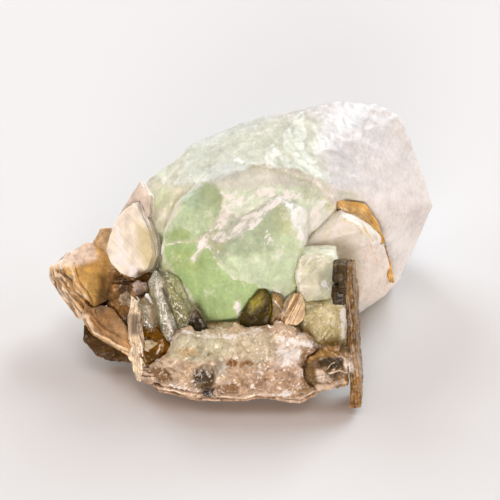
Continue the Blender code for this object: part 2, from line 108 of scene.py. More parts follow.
DARK_PATCH = ("180,205 185,195 200,190 205,182 215,185 222,190 224,202 221,215 215,232 195,238 165,243 "
              "163,235 168,225 178,215")
FRONT_FACET = ("164,244 162,268 185,290 195,310 208,330 222,340 238,338 241,325 243,310 257,292 262,286 "
               "235,279 222,269 210,251 205,243 185,243")
RIGHT_FACET = ("211,246 220,255 226,240 240,238 250,228 258,222 268,215 275,203 285,205 290,222 298,245 "
               "300,260 297,275 293,295 280,302 263,291 258,285 235,278 222,268")
FLAKY_FIELD = ("221,188 240,190 268,186 300,186 330,200 341,216 338,226 318,240 300,246 292,222 286,203 "
               "275,202 266,215 250,228 238,238 215,240 221,215 225,202")
CROWN_BAND = ("180,158 225,137 262,124 300,114 322,120 318,150 332,196 315,186 290,176 235,164 205,172 "
              "182,186")
LEFT_SHOULDER = ("124,215 130,204 141,190 150,182 170,165 182,160 186,190 178,212 164,236 160,256 150,230 "
                 "142,205")
UPPER_RIGHT = "318,104 378,103 400,118 436,205 420,242 388,298 372,240 345,190 322,150"

MASS_PATCHES = [
    # the main areas
    Patch(UPPER_RIGHT, (0.94, 0.91, 0.9), 0.95, 14.0, -0.1),
    Patch("378,236 410,230 422,256 394,288", (1.0, 0.98, 0.97), 0.9, 9.0, 0.22),
    Patch(CROWN_BAND, (0.84, 0.86, 0.69), 0.9, 8.0, 0.0, 0.1),
    Patch("174,160 212,148 222,170 184,186", (0.7, 0.72, 0.58), 0.5, 8.0, 0.0),
    Patch(LEFT_SHOULDER, (1.0, 1.0, 0.8), 0.8, 8.0, 0.0),
    Patch(FLAKY_FIELD, (0.8, 0.95, 0.76), 0.9, 3.0, 0.49),
    Patch(DARK_PATCH, GREEN, 0.9, 2.0, 0.05, -0.15),
    Patch(FRONT_FACET, DEEP_GREEN, 1.0, 1.2, -0.1, -0.22),
    Patch(RIGHT_FACET, LIGHT_GREEN, 1.0, 1.8, 0.06),
    # darker and warmer spots
    Patch("276,204 285,205 290,222 292,236 280,234 272,222", (0.74, 0.84, 0.5), 0.7, 3.0, 0.0, -0.1),
    Patch("262,232 284,232 290,250 278,264 264,254", LIGHT_GREEN, 0.2, 6.0, 0.36),
    Patch("205,184 222,191 222,204 214,206 204,196", (0.66, 0.78, 0.42), 0.5, 4.0, 0.0),
    Patch("163,236 180,228 190,232 188,240 166,243", (0.45, 0.61, 0.24), 0.8, 3.0, -0.1, -0.1),
    Patch("172,250 200,252 205,268 190,274 172,262", (0.5, 0.66, 0.26), 0.6, 4.0, -0.1),
    Patch("298,186 315,186 322,198 306,200", (0.66, 0.75, 0.54), 0.8, 4.0, 0.1),
    Patch("335,192 352,190 360,200 346,202", (0.72, 0.77, 0.6), 0.7, 4.0, 0.1),
    Patch("150,196 166,186 174,196 168,208 154,210", (0.68, 0.76, 0.48), 0.7, 5.0, 0.1),
    Patch("326,204 338,212 344,224 336,222 326,212", (0.74, 0.7, 0.3), 0.7, 3.0, 0.1),
    # frost
    Patch("196,240 206,232 216,234 226,240 212,248 204,250 194,264 188,262 196,250", WHITE, 0.3, 2.5, 0.5),
    Patch("222,190 232,198 236,212 262,200 284,198 280,206 262,214 250,226 236,236 222,236 214,238 222,222",
          WHITE, 0.3, 2.5, 0.52),
    Patch("214,241 226,233 240,226 252,218 264,219 252,229 236,236 222,244", WHITE, 0.3, 2.5, 0.54),
    Patch("298,212 322,206 336,216 320,238 303,246", (0.94, 0.95, 0.88), 0.7, 3.0, 0.6),
    Patch("286,200 295,205 300,220 305,238 298,240 293,222", WHITE, 0.3, 2.5, 0.54),
]
MASS_STREAKS = [
    # frosted edges of the facets
    Streak("205,243 210,251 222,268 235,278 250,283 258,285 264,292", 0.6, WHITE, 0.6, 0.6, 0.08),
    Streak("203,241 199,249 193,258 190,264", 1.3, WHITE, 0.7, 0.75),
    Streak("206,243 196,246 184,243 168,244", 0.5, WHITE, 0.7, 0.6),
    Streak("203,240 212,238 224,240", 1.2, WHITE, 0.7, 0.75),
    Streak("214,242 217,250 220,257", 0.7, WHITE, 0.7, 0.7),
    Streak("208,234 214,228 222,216 222,204", 2.6, MILK, 0.5, 0.6, 0.1),
    Streak("222,192 228,196 232,203 226,212 223,224", 1.5, WHITE, 0.6, 0.7),
    Streak("240,205 246,214 244,222", 0.9, WHITE, 0.6, 0.7),
    Streak("268,195 284,198 292,206", 0.8, WHITE, 0.6, 0.65),
    # cleavage lines of the crown
    Streak("232,163 262,168 290,175 315,185 330,199", 1.0, (0.66, 0.74, 0.54), 0.6, rise=-0.08),
    Streak("232,160 262,165 290,172 316,182 334,197", 1.2, WHITE, 0.4, 0.5),
    Streak("320,194 331,202 344,212", 0.7, (0.82, 0.6, 0.3), 0.7, 0.0),
    Streak("326,204 336,210 346,220", 0.5, (0.78, 0.56, 0.26), 0.7, 0.0),
    # the foot and the left edge
    Streak("276,290 282,296 288,300", 2.4, WHITE, 0.7, 0.7),
    Streak("240,318 238,308 236,302", 2.6, WHITE, 0.8, 0.8),
    Streak("222,330 232,331", 1.2, WHITE, 0.7, 0.8),
    Streak("162,246 164,258 168,268 186,290 196,312 208,332", 2.4, MILK, 0.45, 0.4, 0.1),
    Streak("152,246 160,262 166,272", 4.0, (0.72, 0.7, 0.5), 0.7, 0.2),
    Streak("150,182 141,192 131,206 120,226", 3.0, (0.8, 0.7, 0.62), 0.7, 0.4),
]
# Where nothing is marked, a point takes the colour of the zones it is nearest to: centre, reach, colour
MASS_ZONES = [
    ((-6.0, -12.0, 14.0), 16.0, (0.72, 0.82, 0.48)),
    ((-14.0, 2.0, 30.0), 10.0, (0.82, 0.87, 0.71)),
    ((2.0, 6.0, 38.0), 12.0, (0.82, 0.86, 0.78)),
    ((28.0, 20.0, 30.0), 18.0, (0.87, 0.83, 0.81)),
    ((16.0, 28.0, 16.0), 20.0, (0.86, 0.81, 0.77)),
    ((-12.0, 16.0, 12.0), 14.0, (0.8, 0.8, 0.66)),
]
PALE_MARKS = [
    Patch("306,262 316,262 322,276 312,280", (0.62, 0.66, 0.44), 0.6, 5.0, 0.0),
    Streak("324,283 329,288", 2.4, WHITE, 0.9, 0.9, 0.1),
    Streak("307,294 305,276 313,263 326,260", 0.6, WHITE, 0.6, rise=0.05),
    Streak("313,294 310,279 318,268 330,267", 0.6, WHITE, 0.6, rise=0.05),
    Streak("320,296 316,284 323,275 333,276", 0.6, WHITE, 0.6, rise=0.05),
    Streak("302,258 300,280 304,300", 2.0, MILK, 0.7, 0.5),
    Streak("305,266 312,258 322,257", 1.5, MILK, 0.7, 0.5, 0.1),
]
LOWER_MARKS = [
    # painted shade in the block's top-left corner and a painted highlight on its bevelled top; the rest is
    # its own colour and frost
    Patch("302,304 326,304 318,308 308,314 302,318", (0.4, 0.37, 0.18), 0.8, 2.0, -0.1, -0.1),
    Patch("316,330 334,326 340,340 322,344", (0.72, 0.66, 0.32), 0.6, 4.0, 0.0),
    Patch("318,310 334,308 336,322 320,324", (0.98, 0.92, 0.6), 0.6, 4.0, 0.1),
    Streak("298,314 300,326 304,336", 4.0, (0.96, 0.88, 0.8), 0.9, 0.8, 0.1),
    Streak("346,302 342,316 346,334 338,350 330,350", 3.0, (1.0, 0.95, 0.76), 0.6, 0.55),
    Streak("336,306 350,303", 2.0, MILK, 0.8, 0.7, 0.1),
]
CREAM_MARKS = [
    Patch("361,240 385,236 402,285 385,300 356,306", (0.97, 0.88, 0.8), 1.0, 2.5, 0.2),
    Patch("306,232 338,220 354,238 352,262 304,254", (1.0, 0.97, 0.86), 0.8, 5.0, 0.45),
    Streak("340,222 362,212 376,238", 2.0, (0.72, 0.7, 0.4), 0.5, 0.2),
    Streak("362,244 380,240", 2.5, WHITE, 0.6, 0.6, 0.1),
    Streak("340,220 354,224 368,240 376,262", 0.5, (0.86, 0.64, 0.34), 0.7, 0.0),
    Streak("346,218 360,224 372,240", 0.6, (0.84, 0.6, 0.28), 0.8, 0.0),
]
PRISM_MARKS = [
    # the white streaks on the clear prisms are painted glints
    Streak("162,288 172,312 181,334", 1.3, (0.05, 0.045, 0.03), 0.95, -0.2, -0.1),
    Streak("152,300 158,322 164,338", 0.9, (0.12, 0.1, 0.06), 0.8, -0.2, -0.1),
    Streak("156,282 162,302", 0.9, WHITE, 0.7, 0.6, 0.1),
    Streak("161,276 168,288", 1.0, (0.1, 0.1, 0.06), 0.7, 0.0),
    Streak("147,296 152,304", 1.8, WHITE, 1.0, 0.9, 0.1),
    Streak("146,312 150,326", 1.6, WHITE, 0.6, 0.7, 0.1),
    Patch("176,296 188,300 190,322 182,330 174,312", (0.42, 0.42, 0.22), 0.7, 4.0, 0.0),
    Patch("144,308 156,306 160,322 148,324", (0.26, 0.2, 0.1), 0.7, 3.0, 0.0),
    Streak("170,292 176,310 178,330", 0.7, (0.1, 0.09, 0.04), 0.8, 0.0),
    Patch("160,296 168,300 172,316 164,314", (0.4, 0.38, 0.28), 0.7, 3.0, 0.1),
    Streak("166,318 174,336", 2.4, (0.98, 0.96, 0.86), 0.7, 0.6),
    Streak("190,328 198,334", 1.6, (0.1, 0.08, 0.05), 0.8, 0.0),
    Streak("170,284 182,300 194,326", 1.2, (0.16, 0.15, 0.08), 0.7, -0.1),
    Streak("178,312 186,322", 1.6, (0.9, 0.9, 0.74), 0.7, 0.6),
]
LEDGE_MARKS = [
    # broad shades from left to right
    Patch("168,340 200,330 240,336 236,356 200,362 170,358", (0.84, 0.84, 0.6), 0.9, 6.0, 0.0),
    Patch("226,334 280,334 284,356 250,366 226,356", (0.86, 0.78, 0.57), 0.9, 6.0, 0.25),
    Patch("280,340 318,342 312,362 296,380 270,372", (0.94, 0.82, 0.72), 0.9, 6.0, 0.7),
    Patch("240,370 300,364 308,392 240,396", (0.64, 0.44, 0.29), 0.8, 6.0, 0.4),
    # the dark hollow: painted shade in a hollow of the ledge, with a painted glint in it
    Patch("190,378 194,370 203,364 213,367 216,378 211,390 200,392 192,386", (0.115, 0.075, 0.025), 0.9,
          2.5, -0.1, -0.15),
    Patch("194,372 204,370 208,378 198,384 193,380", (0.06, 0.045, 0.03), 0.9, 1.2, -0.1),
    Patch("204,380 213,374 214,384 206,390 200,388", (0.08, 0.06, 0.03), 0.85, 1.2, -0.1),
    Patch("204,366 213,367 212,373 205,372", (0.6, 0.54, 0.42), 0.5, 1.2, 0.1),
    # grey grains and rust
    Patch("214,358 226,358 228,374 216,376", (0.62, 0.58, 0.46), 0.8, 2.5, 0.0, 0.2),
    Patch("226,364 231,359 238,361 236,366 231,369 228,366", (0.27, 0.11, 0.01), 0.95, 1.2, -0.1, -0.15),
    Streak("241,366 246,361 252,364", 1.4, (0.36, 0.15, 0.02), 0.9, 0.1, -0.15),
    Patch("256,362 266,362 268,372 258,372", (0.6, 0.5, 0.36), 0.6, 3.0, 0.2),
    # the left corner and the holes, darkened as painted shade, and the brown right end
    Patch("146,366 166,368 172,380 158,384 148,376", (0.2, 0.1, 0.03), 0.95, 2.0, 0.0, -0.4),
    Patch("176,348 192,348 200,354 178,357", (0.84, 0.6, 0.3), 0.7, 2.0, 0.3),
    Patch("216,388 228,382 240,386 238,394 220,395", (0.24, 0.13, 0.05), 0.85, 1.5, 0.0, -0.2),
    Patch("304,354 326,348 322,360 304,366", (0.46, 0.28, 0.08), 0.75, 2.5, 0.1, -0.1),
    Patch("300,346 318,344 316,394 298,392 306,372 302,366", (0.34, 0.2, 0.09), 0.8, 3.0, 0.1, -0.1),
    # cracks
    Streak("196,362 210,354 222,356 238,352", 1.0, (0.7, 0.58, 0.36), 0.6, rise=-0.15),
    Streak("252,372 264,380 284,378 296,386", 1.0, (0.4, 0.26, 0.14), 0.6, rise=-0.2),
    Streak("236,374 246,386 262,392", 0.9, (0.4, 0.26, 0.14), 0.6, rise=-0.2),
    Streak("166,366 182,372 190,384", 1.0, (0.42, 0.28, 0.14), 0.6, rise=-0.2),
    # the pale lower edge, and frost on top, where the white line along the top edge is also a painted
    # highlight
    Streak("140,378 160,386 186,389 206,397", 3.0, (0.86, 0.68, 0.54), 0.8, 0.7, 0.1),
    Streak("206,398 230,400 262,398 300,399", 2.6, (0.88, 0.7, 0.58), 0.8, 0.7, 0.1),
    Streak("168,342 182,332 200,333 216,338 236,336 256,330 272,334", 1.8, WHITE, 0.5, 0.6),
    Streak("280,340 296,342 312,344", 3.6, (0.98, 0.9, 0.84), 0.8, 0.85, 0.1),
]
MICA_MARKS = [
    # painted shade in the hollows between the books at the left and under the pearly book
    Patch("94,272 108,276 112,300 100,318 92,300", (0.1, 0.05, 0.015), 0.85, 5.0),
    Patch("118,282 131,284 130,293 118,292", (0.07, 0.04, 0.02), 0.8, 3.0),
    Patch("124,314 134,314 134,336 126,334", (0.08, 0.05, 0.03), 0.8, 3.0),
    Patch("132,270 156,268 152,284 138,284", (0.16, 0.09, 0.02), 0.9, 3.0),
    # the outer book and the slab: painted highlights on the outer book's top and along the slab's lit lower
    # edge, painted shade in the dark lines between the sheets
    Patch("48,252 62,244 92,242 96,260 78,266 62,268 50,264", (0.84, 0.72, 0.62), 0.8, 4.0),
    Patch("80,268 97,266 101,286 94,304 84,296", (0.74, 0.47, 0.13), 0.6, 4.0),
    Streak("74,264 79,280 90,298 98,318", 1.0, (0.26, 0.14, 0.04), 0.8, rise=-0.2),
    Streak("62,270 68,286 80,302 88,312", 0.9, (0.3, 0.17, 0.06), 0.8, rise=-0.2),
    Streak("56,272 62,288 74,304 84,318", 1.2, (0.92, 0.78, 0.62), 0.7, rise=0.1),
    Streak("70,266 75,282 86,299", 1.2, (0.9, 0.74, 0.52), 0.7, rise=0.1),
    Streak("106,271 118,274 134,279", 0.7, (0.9, 0.66, 0.32), 0.9, rise=0.1),
    Streak("86,318 95,332 110,341 125,350 137,358", 1.5, (0.92, 0.74, 0.54), 0.8, rise=0.1),
    Streak("90,312 102,326 118,337 134,347", 0.9, (0.16, 0.08, 0.03), 0.7, rise=-0.15),
    Streak("92,322 104,334 122,344", 0.7, (0.2, 0.1, 0.04), 0.6, rise=-0.1),
    # the pearly book: its gold middle, and a painted white sheen along its left side
    Patch("138,222 152,232 156,262 146,268 138,250", (0.68, 0.6, 0.31), 0.75, 5.0),
    Streak("118,228 120,244 126,262 134,272", 2.6, (1.0, 1.0, 1.0), 0.9),
    # the golden seam
    Streak("352,203 364,208 374,224 385,246", 2.4, (0.62, 0.34, 0.07), 0.85, rise=0.1),
    Streak("345,204 360,212 370,228 379,244", 0.8, (0.66, 0.38, 0.1), 0.8),
    Streak("334,203 350,211 364,226", 0.8, (0.7, 0.44, 0.15), 0.8),
    Streak("338,208 352,219 366,238", 0.7, (0.66, 0.42, 0.14), 0.7),
    Streak("340,207 356,215 368,231 376,246", 0.8, (0.92, 0.78, 0.56), 0.75, rise=-0.1),
    Streak("358,208 368,222 378,242", 0.5, (0.92, 0.76, 0.5), 0.6, rise=-0.1),
    # the blade, with a painted glint in the pale streak along it
    Patch("343,260 348,260 348,304 343,304", (0.06, 0.035, 0.01), 0.9, 1.2),
    Streak("347,304 349,340 352,384", 0.9, (0.05, 0.03, 0.01), 0.8, rise=-0.1),
    Streak("351,296 353,326 355,352", 0.7, (0.86, 0.78, 0.66), 0.7, rise=0.1),
    Streak("354,312 357,350 359,372", 0.5, (0.1, 0.06, 0.03), 0.7),
    Patch("344,354 360,354 360,374 344,374", (0.62, 0.48, 0.34), 0.5, 3.0),
    Patch("344,378 364,378 364,410 344,410", (0.3, 0.16, 0.045), 0.8, 3.0),
    # the rim
    Streak("140,298 135,312 134,332 138,352 140,378", 1.3, (1.0, 0.88, 0.74), 0.85, rise=0.1),
    Streak("143,300 139,316 139,336 142,356", 0.6, (0.16, 0.09, 0.04), 0.8, rise=-0.1),
    # the pocket, with painted glints in its light streaks
    Streak("146,331 153,329 161,334", 0.4, (0.8, 0.56, 0.16), 0.7, rise=0.1),
    Streak("143,352 144,357 146,361", 0.6, (0.9, 0.76, 0.5), 0.8, rise=0.1),
    Streak("156,353 159,349 160,344", 0.5, (1.0, 0.92, 0.76), 0.8, rise=0.1),
    Patch("142,352 156,350 160,364 146,368", (0.09, 0.045, 0.005), 0.6, 3.0),
    # the glittering patch at the right: dark and golden mica, with painted glints in its white and pale
    # patches and streaks
    Patch("314,348 330,346 342,352 330,358 314,360", (0.33, 0.19, 0.045), 0.7, 3.0),
    Patch("318,362 328,357 342,357 344,366 336,370 328,366 320,368", (0.035, 0.024, 0.01), 0.9, 1.5),
    Patch("324,372 336,374 334,379 326,378", (0.09, 0.065, 0.04), 0.8, 1.5),
    Patch("315,371 322,370 329,376 329,381 321,383 315,379", (0.92, 0.8, 0.7), 0.7, 2.0),
    Patch("343,364 349,357 353,366 352,373 346,370", (1.0, 0.96, 0.9), 0.8, 1.5),
    Patch("306,364 315,360 315,384 306,384", (0.17, 0.1, 0.03), 0.8, 2.5),
    Streak("328,368 331,364 334,362", 0.5, (1.0, 0.95, 0.86), 0.9, rise=0.1),
    Streak("333,370 336,366", 0.6, (0.9, 0.8, 0.66), 0.8, rise=0.1),
    Streak("330,373 338,371 347,373", 0.6, (0.96, 0.88, 0.76), 0.8, rise=0.1),
    Streak("340,354 344,359 345,365", 0.5, (0.92, 0.82, 0.68), 0.7, rise=0.1),
    Streak("316,387 328,388 342,381", 2.0, (0.82, 0.66, 0.5), 0.7, rise=0.1),
    Streak("302,348 314,343 328,346 342,345", 1.2, (0.56, 0.36, 0.1), 0.8, rise=0.1),
    Streak("308,362 314,357 322,355", 1.0, (0.5, 0.3, 0.1), 0.7),
    # the small books in the middle, with painted glints in the white streaks between them
    Streak("286,326 291,312 299,297", 0.6, (0.3, 0.17, 0.06), 0.8, rise=-0.1),
    Streak("291,326 296,313 302,302", 0.5, (0.5, 0.32, 0.14), 0.7),
    Streak("289,326 294,312 300,299", 0.7, (1.0, 0.9, 0.74), 0.8, rise=0.1),
    Patch("244,326 250,310 260,300 268,306 268,330 250,334", (0.03, 0.02, 0.0), 0.6, 4.0),
    Patch("250,300 262,294 262,304 252,312", (0.4, 0.36, 0.06), 0.8, 4.0),
    Streak("281,326 288,312 296,298 300,292", 1.4, (0.28, 0.15, 0.05), 0.9),
    Streak("274,300 279,306 283,312", 1.2, WHITE, 0.8),
    Streak("276,324 281,314", 0.9, (0.94, 0.84, 0.7), 0.8),
    # more of the blade
    Patch("348,304 360,304 360,346 348,346", (0.16, 0.085, 0.02), 0.5, 3.0),
    Patch("346,262 354,262 356,304 349,304 346,290", (0.3, 0.19, 0.09), 0.8, 2.0),
]


# -------- noise in numpy
CELL_SHIFT = 1000.0  # makes the numbers of all cells of a noise positive


def dice(cells, seed):
    """One number from 0 to 1 for each integer cell, the same every run."""
    x, y, z = (cells[:, axis].astype(np.uint64) for axis in range(3))
    mixed = x * np.uint64(73856093) ^ y * np.uint64(19349663) ^ z * np.uint64(83492791)
    mixed = (mixed ^ np.uint64(seed * 2654435761 % 2**32)) * np.uint64(0x9E3779B97F4A7C15)
    mixed ^= mixed >> np.uint64(29)
    mixed *= np.uint64(0xBF58476D1CE4E5B9)
    mixed ^= mixed >> np.uint64(32)
    return (mixed & np.uint64(0xFFFFFF)).astype(float) / 0xFFFFFF


def waves(points, size, seed):
    """Smooth noise from -1 to 1 whose bumps are about this many millimetres across."""
    place = points / (size * MM) + CELL_SHIFT
    base = np.floor(place).astype(np.int64)
    part = place - base
    part = part * part * (3 - 2 * part)
    total = np.zeros(len(points))
    for corner in np.ndindex(2, 2, 2):
        weight = np.prod(np.where(np.array(corner) == 1, part, 1 - part), axis=1)
        total += weight * dice(base + np.array(corner), seed)
    return total * 2 - 1


def fractal(points, size, seed, octaves=4):
    """Waves of this size with ever finer and weaker ones on them."""
    total = np.zeros(len(points))
    for octave in range(octaves):
        total += waves(points, size / 2**octave, seed + octave) / 2**octave
    return total / (2 - 2 ** (1 - octaves))


def grains(points, size, seed):
    """Voronoi cells: each point's nearest seed point, how far off it is in millimetres, a cell number."""
    place = points / (size * MM) + CELL_SHIFT
    base = np.floor(place).astype(np.int64)
    near = np.full(len(points), 9.0)
    centre = np.zeros_like(points)
    chance = np.zeros(len(points))
    for step in np.ndindex(3, 3, 3):
        cell = base + np.array(step) - 1
        jitter = np.stack([dice(cell, seed + axis) for axis in range(3)], axis=1)
        seed_point = cell + jitter
        distance = np.linalg.norm(seed_point - place, axis=1)
        closer = distance < near
        near = np.where(closer, distance, near)
        centre[closer] = seed_point[closer]
        chance[closer] = dice(cell, seed + 7)[closer]
    return (centre - CELL_SHIFT) * size * MM, near * size * MM, chance


CLEAVAGE = np.array([(1, 1, 1), (1, 1, -1), (1, -1, 1), (-1, 1, 1)]) / math.sqrt(3)
CLEAVAGE_CHOICE = 1.6  # above 1: some grains take the cleavage plane that faces them second best
SHALLOWEST_CLEFT = 0.4
HIGHEST_STEP = 0.25  # as a share of a grain
TILT_WAVES = np.array((129.9, 782.3, 377.2))  # so short that neighbouring grains tilt quite differently


def cleaved(points, normals, size, seed):
    """How far each point moves (mm) so that the surface breaks into flat steps along the cleavage planes."""
    centre, _, chance = grains(points, size, seed)
    offset = points - centre
    offset -= normals * (offset * normals).sum(axis=1)[:, None]
    facing = normals @ CLEAVAGE.T
    rank = np.argsort(-np.abs(facing), axis=1)
    pick = rank[np.arange(len(points)), (chance * CLEAVAGE_CHOICE).astype(int)]
    plane = CLEAVAGE[pick]
    along = (normals * plane).sum(axis=1)
    along = np.where(np.abs(along) < SHALLOWEST_CLEFT, np.sign(along + 1e-9) * SHALLOWEST_CLEFT, along)
    moved = -(offset * plane).sum(axis=1) / along
    limit = HIGHEST_STEP * size * MM
    return np.clip(moved, -limit, limit) / MM


def chipped(points, normals, size, seed):
    """How far each point moves (mm) so that the surface turns into small flat grains, each tilted its own
    way; the chance number of its grain; and how far it is from the grain's middle, in grain sizes."""
    centre, near, chance = grains(points, size, seed)
    offset = points - centre
    offset -= normals * (offset * normals).sum(axis=1)[:, None]
    tilt = np.sin(centre / (size * MM) * TILT_WAVES)
    return (offset * tilt).sum(axis=1) / MM, chance, near / (size * MM)


def warped(points, size, far, seed):
    """The points moved about by a smooth noise, so that what is read there gets uneven edges."""
    shift = [fractal(points, size, seed + 10 * axis) for axis in range(3)]
    return points + far * MM * np.stack(shift, axis=1)


def smooth(share):
    share = np.clip(share, 0, 1)
    return share * share * (3 - 2 * share)


# -------- picture and space
def seen_at(points):
    """Where the camera sees points (in metres), in pixels from the picture's top left corner."""
    offset = points / MM - VIEW_TARGET
    scale = VIEW_DISTANCE / (VIEW_DISTANCE - offset @ VIEW_AWAY) / PIXEL
    across = PICTURE_SIDE / 2 + (offset @ VIEW_RIGHT) * scale
    down = PICTURE_SIDE / 2 - (offset @ VIEW_UP) * scale
    return np.stack([across, down], axis=1)


def across_strands(points, angle):
    """How far (mm) points are seen to lie across strands at this angle, which turns down from the right."""
    turn = math.radians(angle)
    return (seen_at(points) @ np.array((-math.sin(turn), math.cos(turn)))) * PIXEL


def corners_of(path):
    return np.array([corner.split(",") for corner in path.split()], dtype=float)


def path_distance(seen, path):
    """Distance in pixels from each place of the picture to a path, given by its corners."""
    best = np.full(len(seen), np.inf)
    for start, end in zip(path, path[1:]):
        run = end - start
        share = np.clip((seen - start) @ run / (run @ run), 0, 1)
        best = np.minimum(best, np.linalg.norm(seen - start - share[:, None] * run, axis=1))
    return best


def depth_inside(seen, outline):
    """Distance in pixels from each place of the picture to an outline, positive inside it."""
    closed = np.concatenate([outline, outline[:1]])
    crossings = np.zeros(len(seen), dtype=int)
    for (x0, y0), (x1, y1) in zip(closed, closed[1:]):
        spans = (y0 > seen[:, 1]) != (y1 > seen[:, 1])
        if y1 != y0:
            across = x0 + (seen[:, 1] - y0) * (x1 - x0) / (y1 - y0)
            crossings += spans & (seen[:, 0] < across)
    distance = path_distance(seen, closed)
    return np.where(crossings % 2 == 1, distance, -distance)


def zoned(points, zones):
    """Each point's colour, blended from the zones that it is nearest to."""
    total = np.zeros((len(points), 3))
    weights = np.full(len(points), 1e-6)
    for centre, reach, colour in zones:
        distance = np.linalg.norm(points - np.array(centre) * MM, axis=1) / (reach * MM)
        weight = np.exp(-2.5 * distance**2) + 1e-5 / (1 + distance**4)
        total += weight[:, None] * np.array(colour)
        weights += weight
    return total / weights[:, None]


class Marking:
    """Colours, milkiness and rise of the points of a mesh, to which patches and streaks are added. Noises
    of these sizes make their edges ragged, by this many pixels, and the streaks swell and thin."""

    RAGGED_SIZE = 2.2
    SWELLING_SIZE = 1.6
    SWELLING = 2.4
    THINNEST, THICKEST = 0.15, 2.6

    def __init__(self, points, normals, tone, veil=0.0, ragged=2.0, front_only=True):
        shift = [fractal(points, self.RAGGED_SIZE, seed, 5) for seed in (171, 181)]
        self.seen = seen_at(points) + ragged * np.stack(shift, axis=1)
        swelling = 1 + self.SWELLING * fractal(points, self.SWELLING_SIZE, 191, 5)
        self.torn = np.clip(swelling, self.THINNEST, self.THICKEST)
        self.tone = tone
        self.veil = np.full(len(points), veil)
        self.rise = np.zeros(len(points))
        to_eye = VIEW_TARGET + VIEW_AWAY * VIEW_DISTANCE - points / MM
        to_eye /= np.linalg.norm(to_eye, axis=1)[:, None]
        facing = (normals * to_eye).sum(axis=1)
        self.front = smooth(facing / 0.2 + 0.3) if front_only else np.ones(len(points))

    def add(self, marks):
        for mark in marks:
            if isinstance(mark, Patch):
                share = smooth(0.5 + depth_inside(self.seen, corners_of(mark.outline)) / mark.soft / 2)
            else:
                away = path_distance(self.seen, corners_of(mark.path))
                share = smooth(1.5 - 1.2 * away / (mark.width * self.torn))
            share = share * self.front
            weight = (share * mark.cover)[:, None]
            self.tone = self.tone * (1 - weight) + np.array(mark.colour) * weight
            if mark.veil is not None:
                self.veil = self.veil * (1 - share) + mark.veil * share
            self.rise += share * mark.rise


# -------- mesh helpers
SKINS = {}  # the points of some nodes' pieces, for the lumps to rest on


def arrays_of(mesh):
    points = np.empty(len(mesh.vertices) * 3)
    normals = np.empty(len(mesh.vertices) * 3)
    mesh.vertices.foreach_get("co", points)
    mesh.vertex_normals.foreach_get("vector", normals)
    return points.reshape(-1, 3), normals.reshape(-1, 3)


def set_points(mesh, points):
    """Moves a mesh's points, none of them out of the box of the frame's own solids."""
    points = np.clip(points, np.array(CAD_BOX[0]), np.array(CAD_BOX[1]))
    mesh.vertices.foreach_set("co", points.astype(np.float32).ravel())
    mesh.update()


def paint(mesh, **layers):
    """Stores numbers, or colours, for the vertices under these names for the material to read."""
    for name, values in layers.items():
        if values.ndim == 1:
            layer = mesh.attributes.new(name, "FLOAT", "POINT")
            layer.data.foreach_set("value", values.astype(np.float32))
        else:
            layer = mesh.attributes.new(name, "FLOAT_COLOR", "POINT")
            full = np.concatenate([np.clip(values, 0, 1), np.ones((len(values), 1))], axis=1)
            layer.data.foreach_set("color", full.astype(np.float32).ravel())


def add_object(name, data):
    made = bpy.data.objects.new(name, data)
    bpy.context.scene.collection.objects.link(made)
    return made


def add_piece(name, mesh, node, material, crease):
    """Puts a mesh in the scene as the piece for a node. Edges past the crease angle are sharp."""
    mesh.shade_smooth()
    mesh.set_sharp_from_angle(angle=math.radians(crease))
    mesh.materials.clear()
    mesh.materials.append(material)
    piece = add_object(name, mesh)
    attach(piece, "root")
    if node:
        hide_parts(node)


def remeshed(node, voxel, smoothing, closing=0.0):
    """A fine, even copy of a node's solid, smoothed; closing first fills creases up to twice that wide."""
    copy = add_object(f"{node} copy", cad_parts[node].data.copy())

    def change(kind, **settings):
        modifier = copy.modifiers.new(kind.lower(), kind)
        for key, value in settings.items():
            setattr(modifier, key, value)

    change("WELD", merge_threshold=0.00001)
    if closing:
        for reach in (closing, -closing):
            change("REMESH", mode="VOXEL", voxel_size=1.6 * voxel * MM)
            change("DISPLACE", strength=reach * MM, mid_level=0.0)
    change("REMESH", mode="VOXEL", voxel_size=voxel * MM)
    change("SMOOTH", factor=0.5, iterations=smoothing)
    graph = bpy.context.evaluated_depsgraph_get()
    made = bpy.data.meshes.new_from_object(copy.evaluated_get(graph))
    bpy.data.objects.remove(copy)
    return made


# -------- node helpers
NOISE_LOW, NOISE_HIGH = 0.3, 0.7  # nearly all of a noise texture's values lie between these


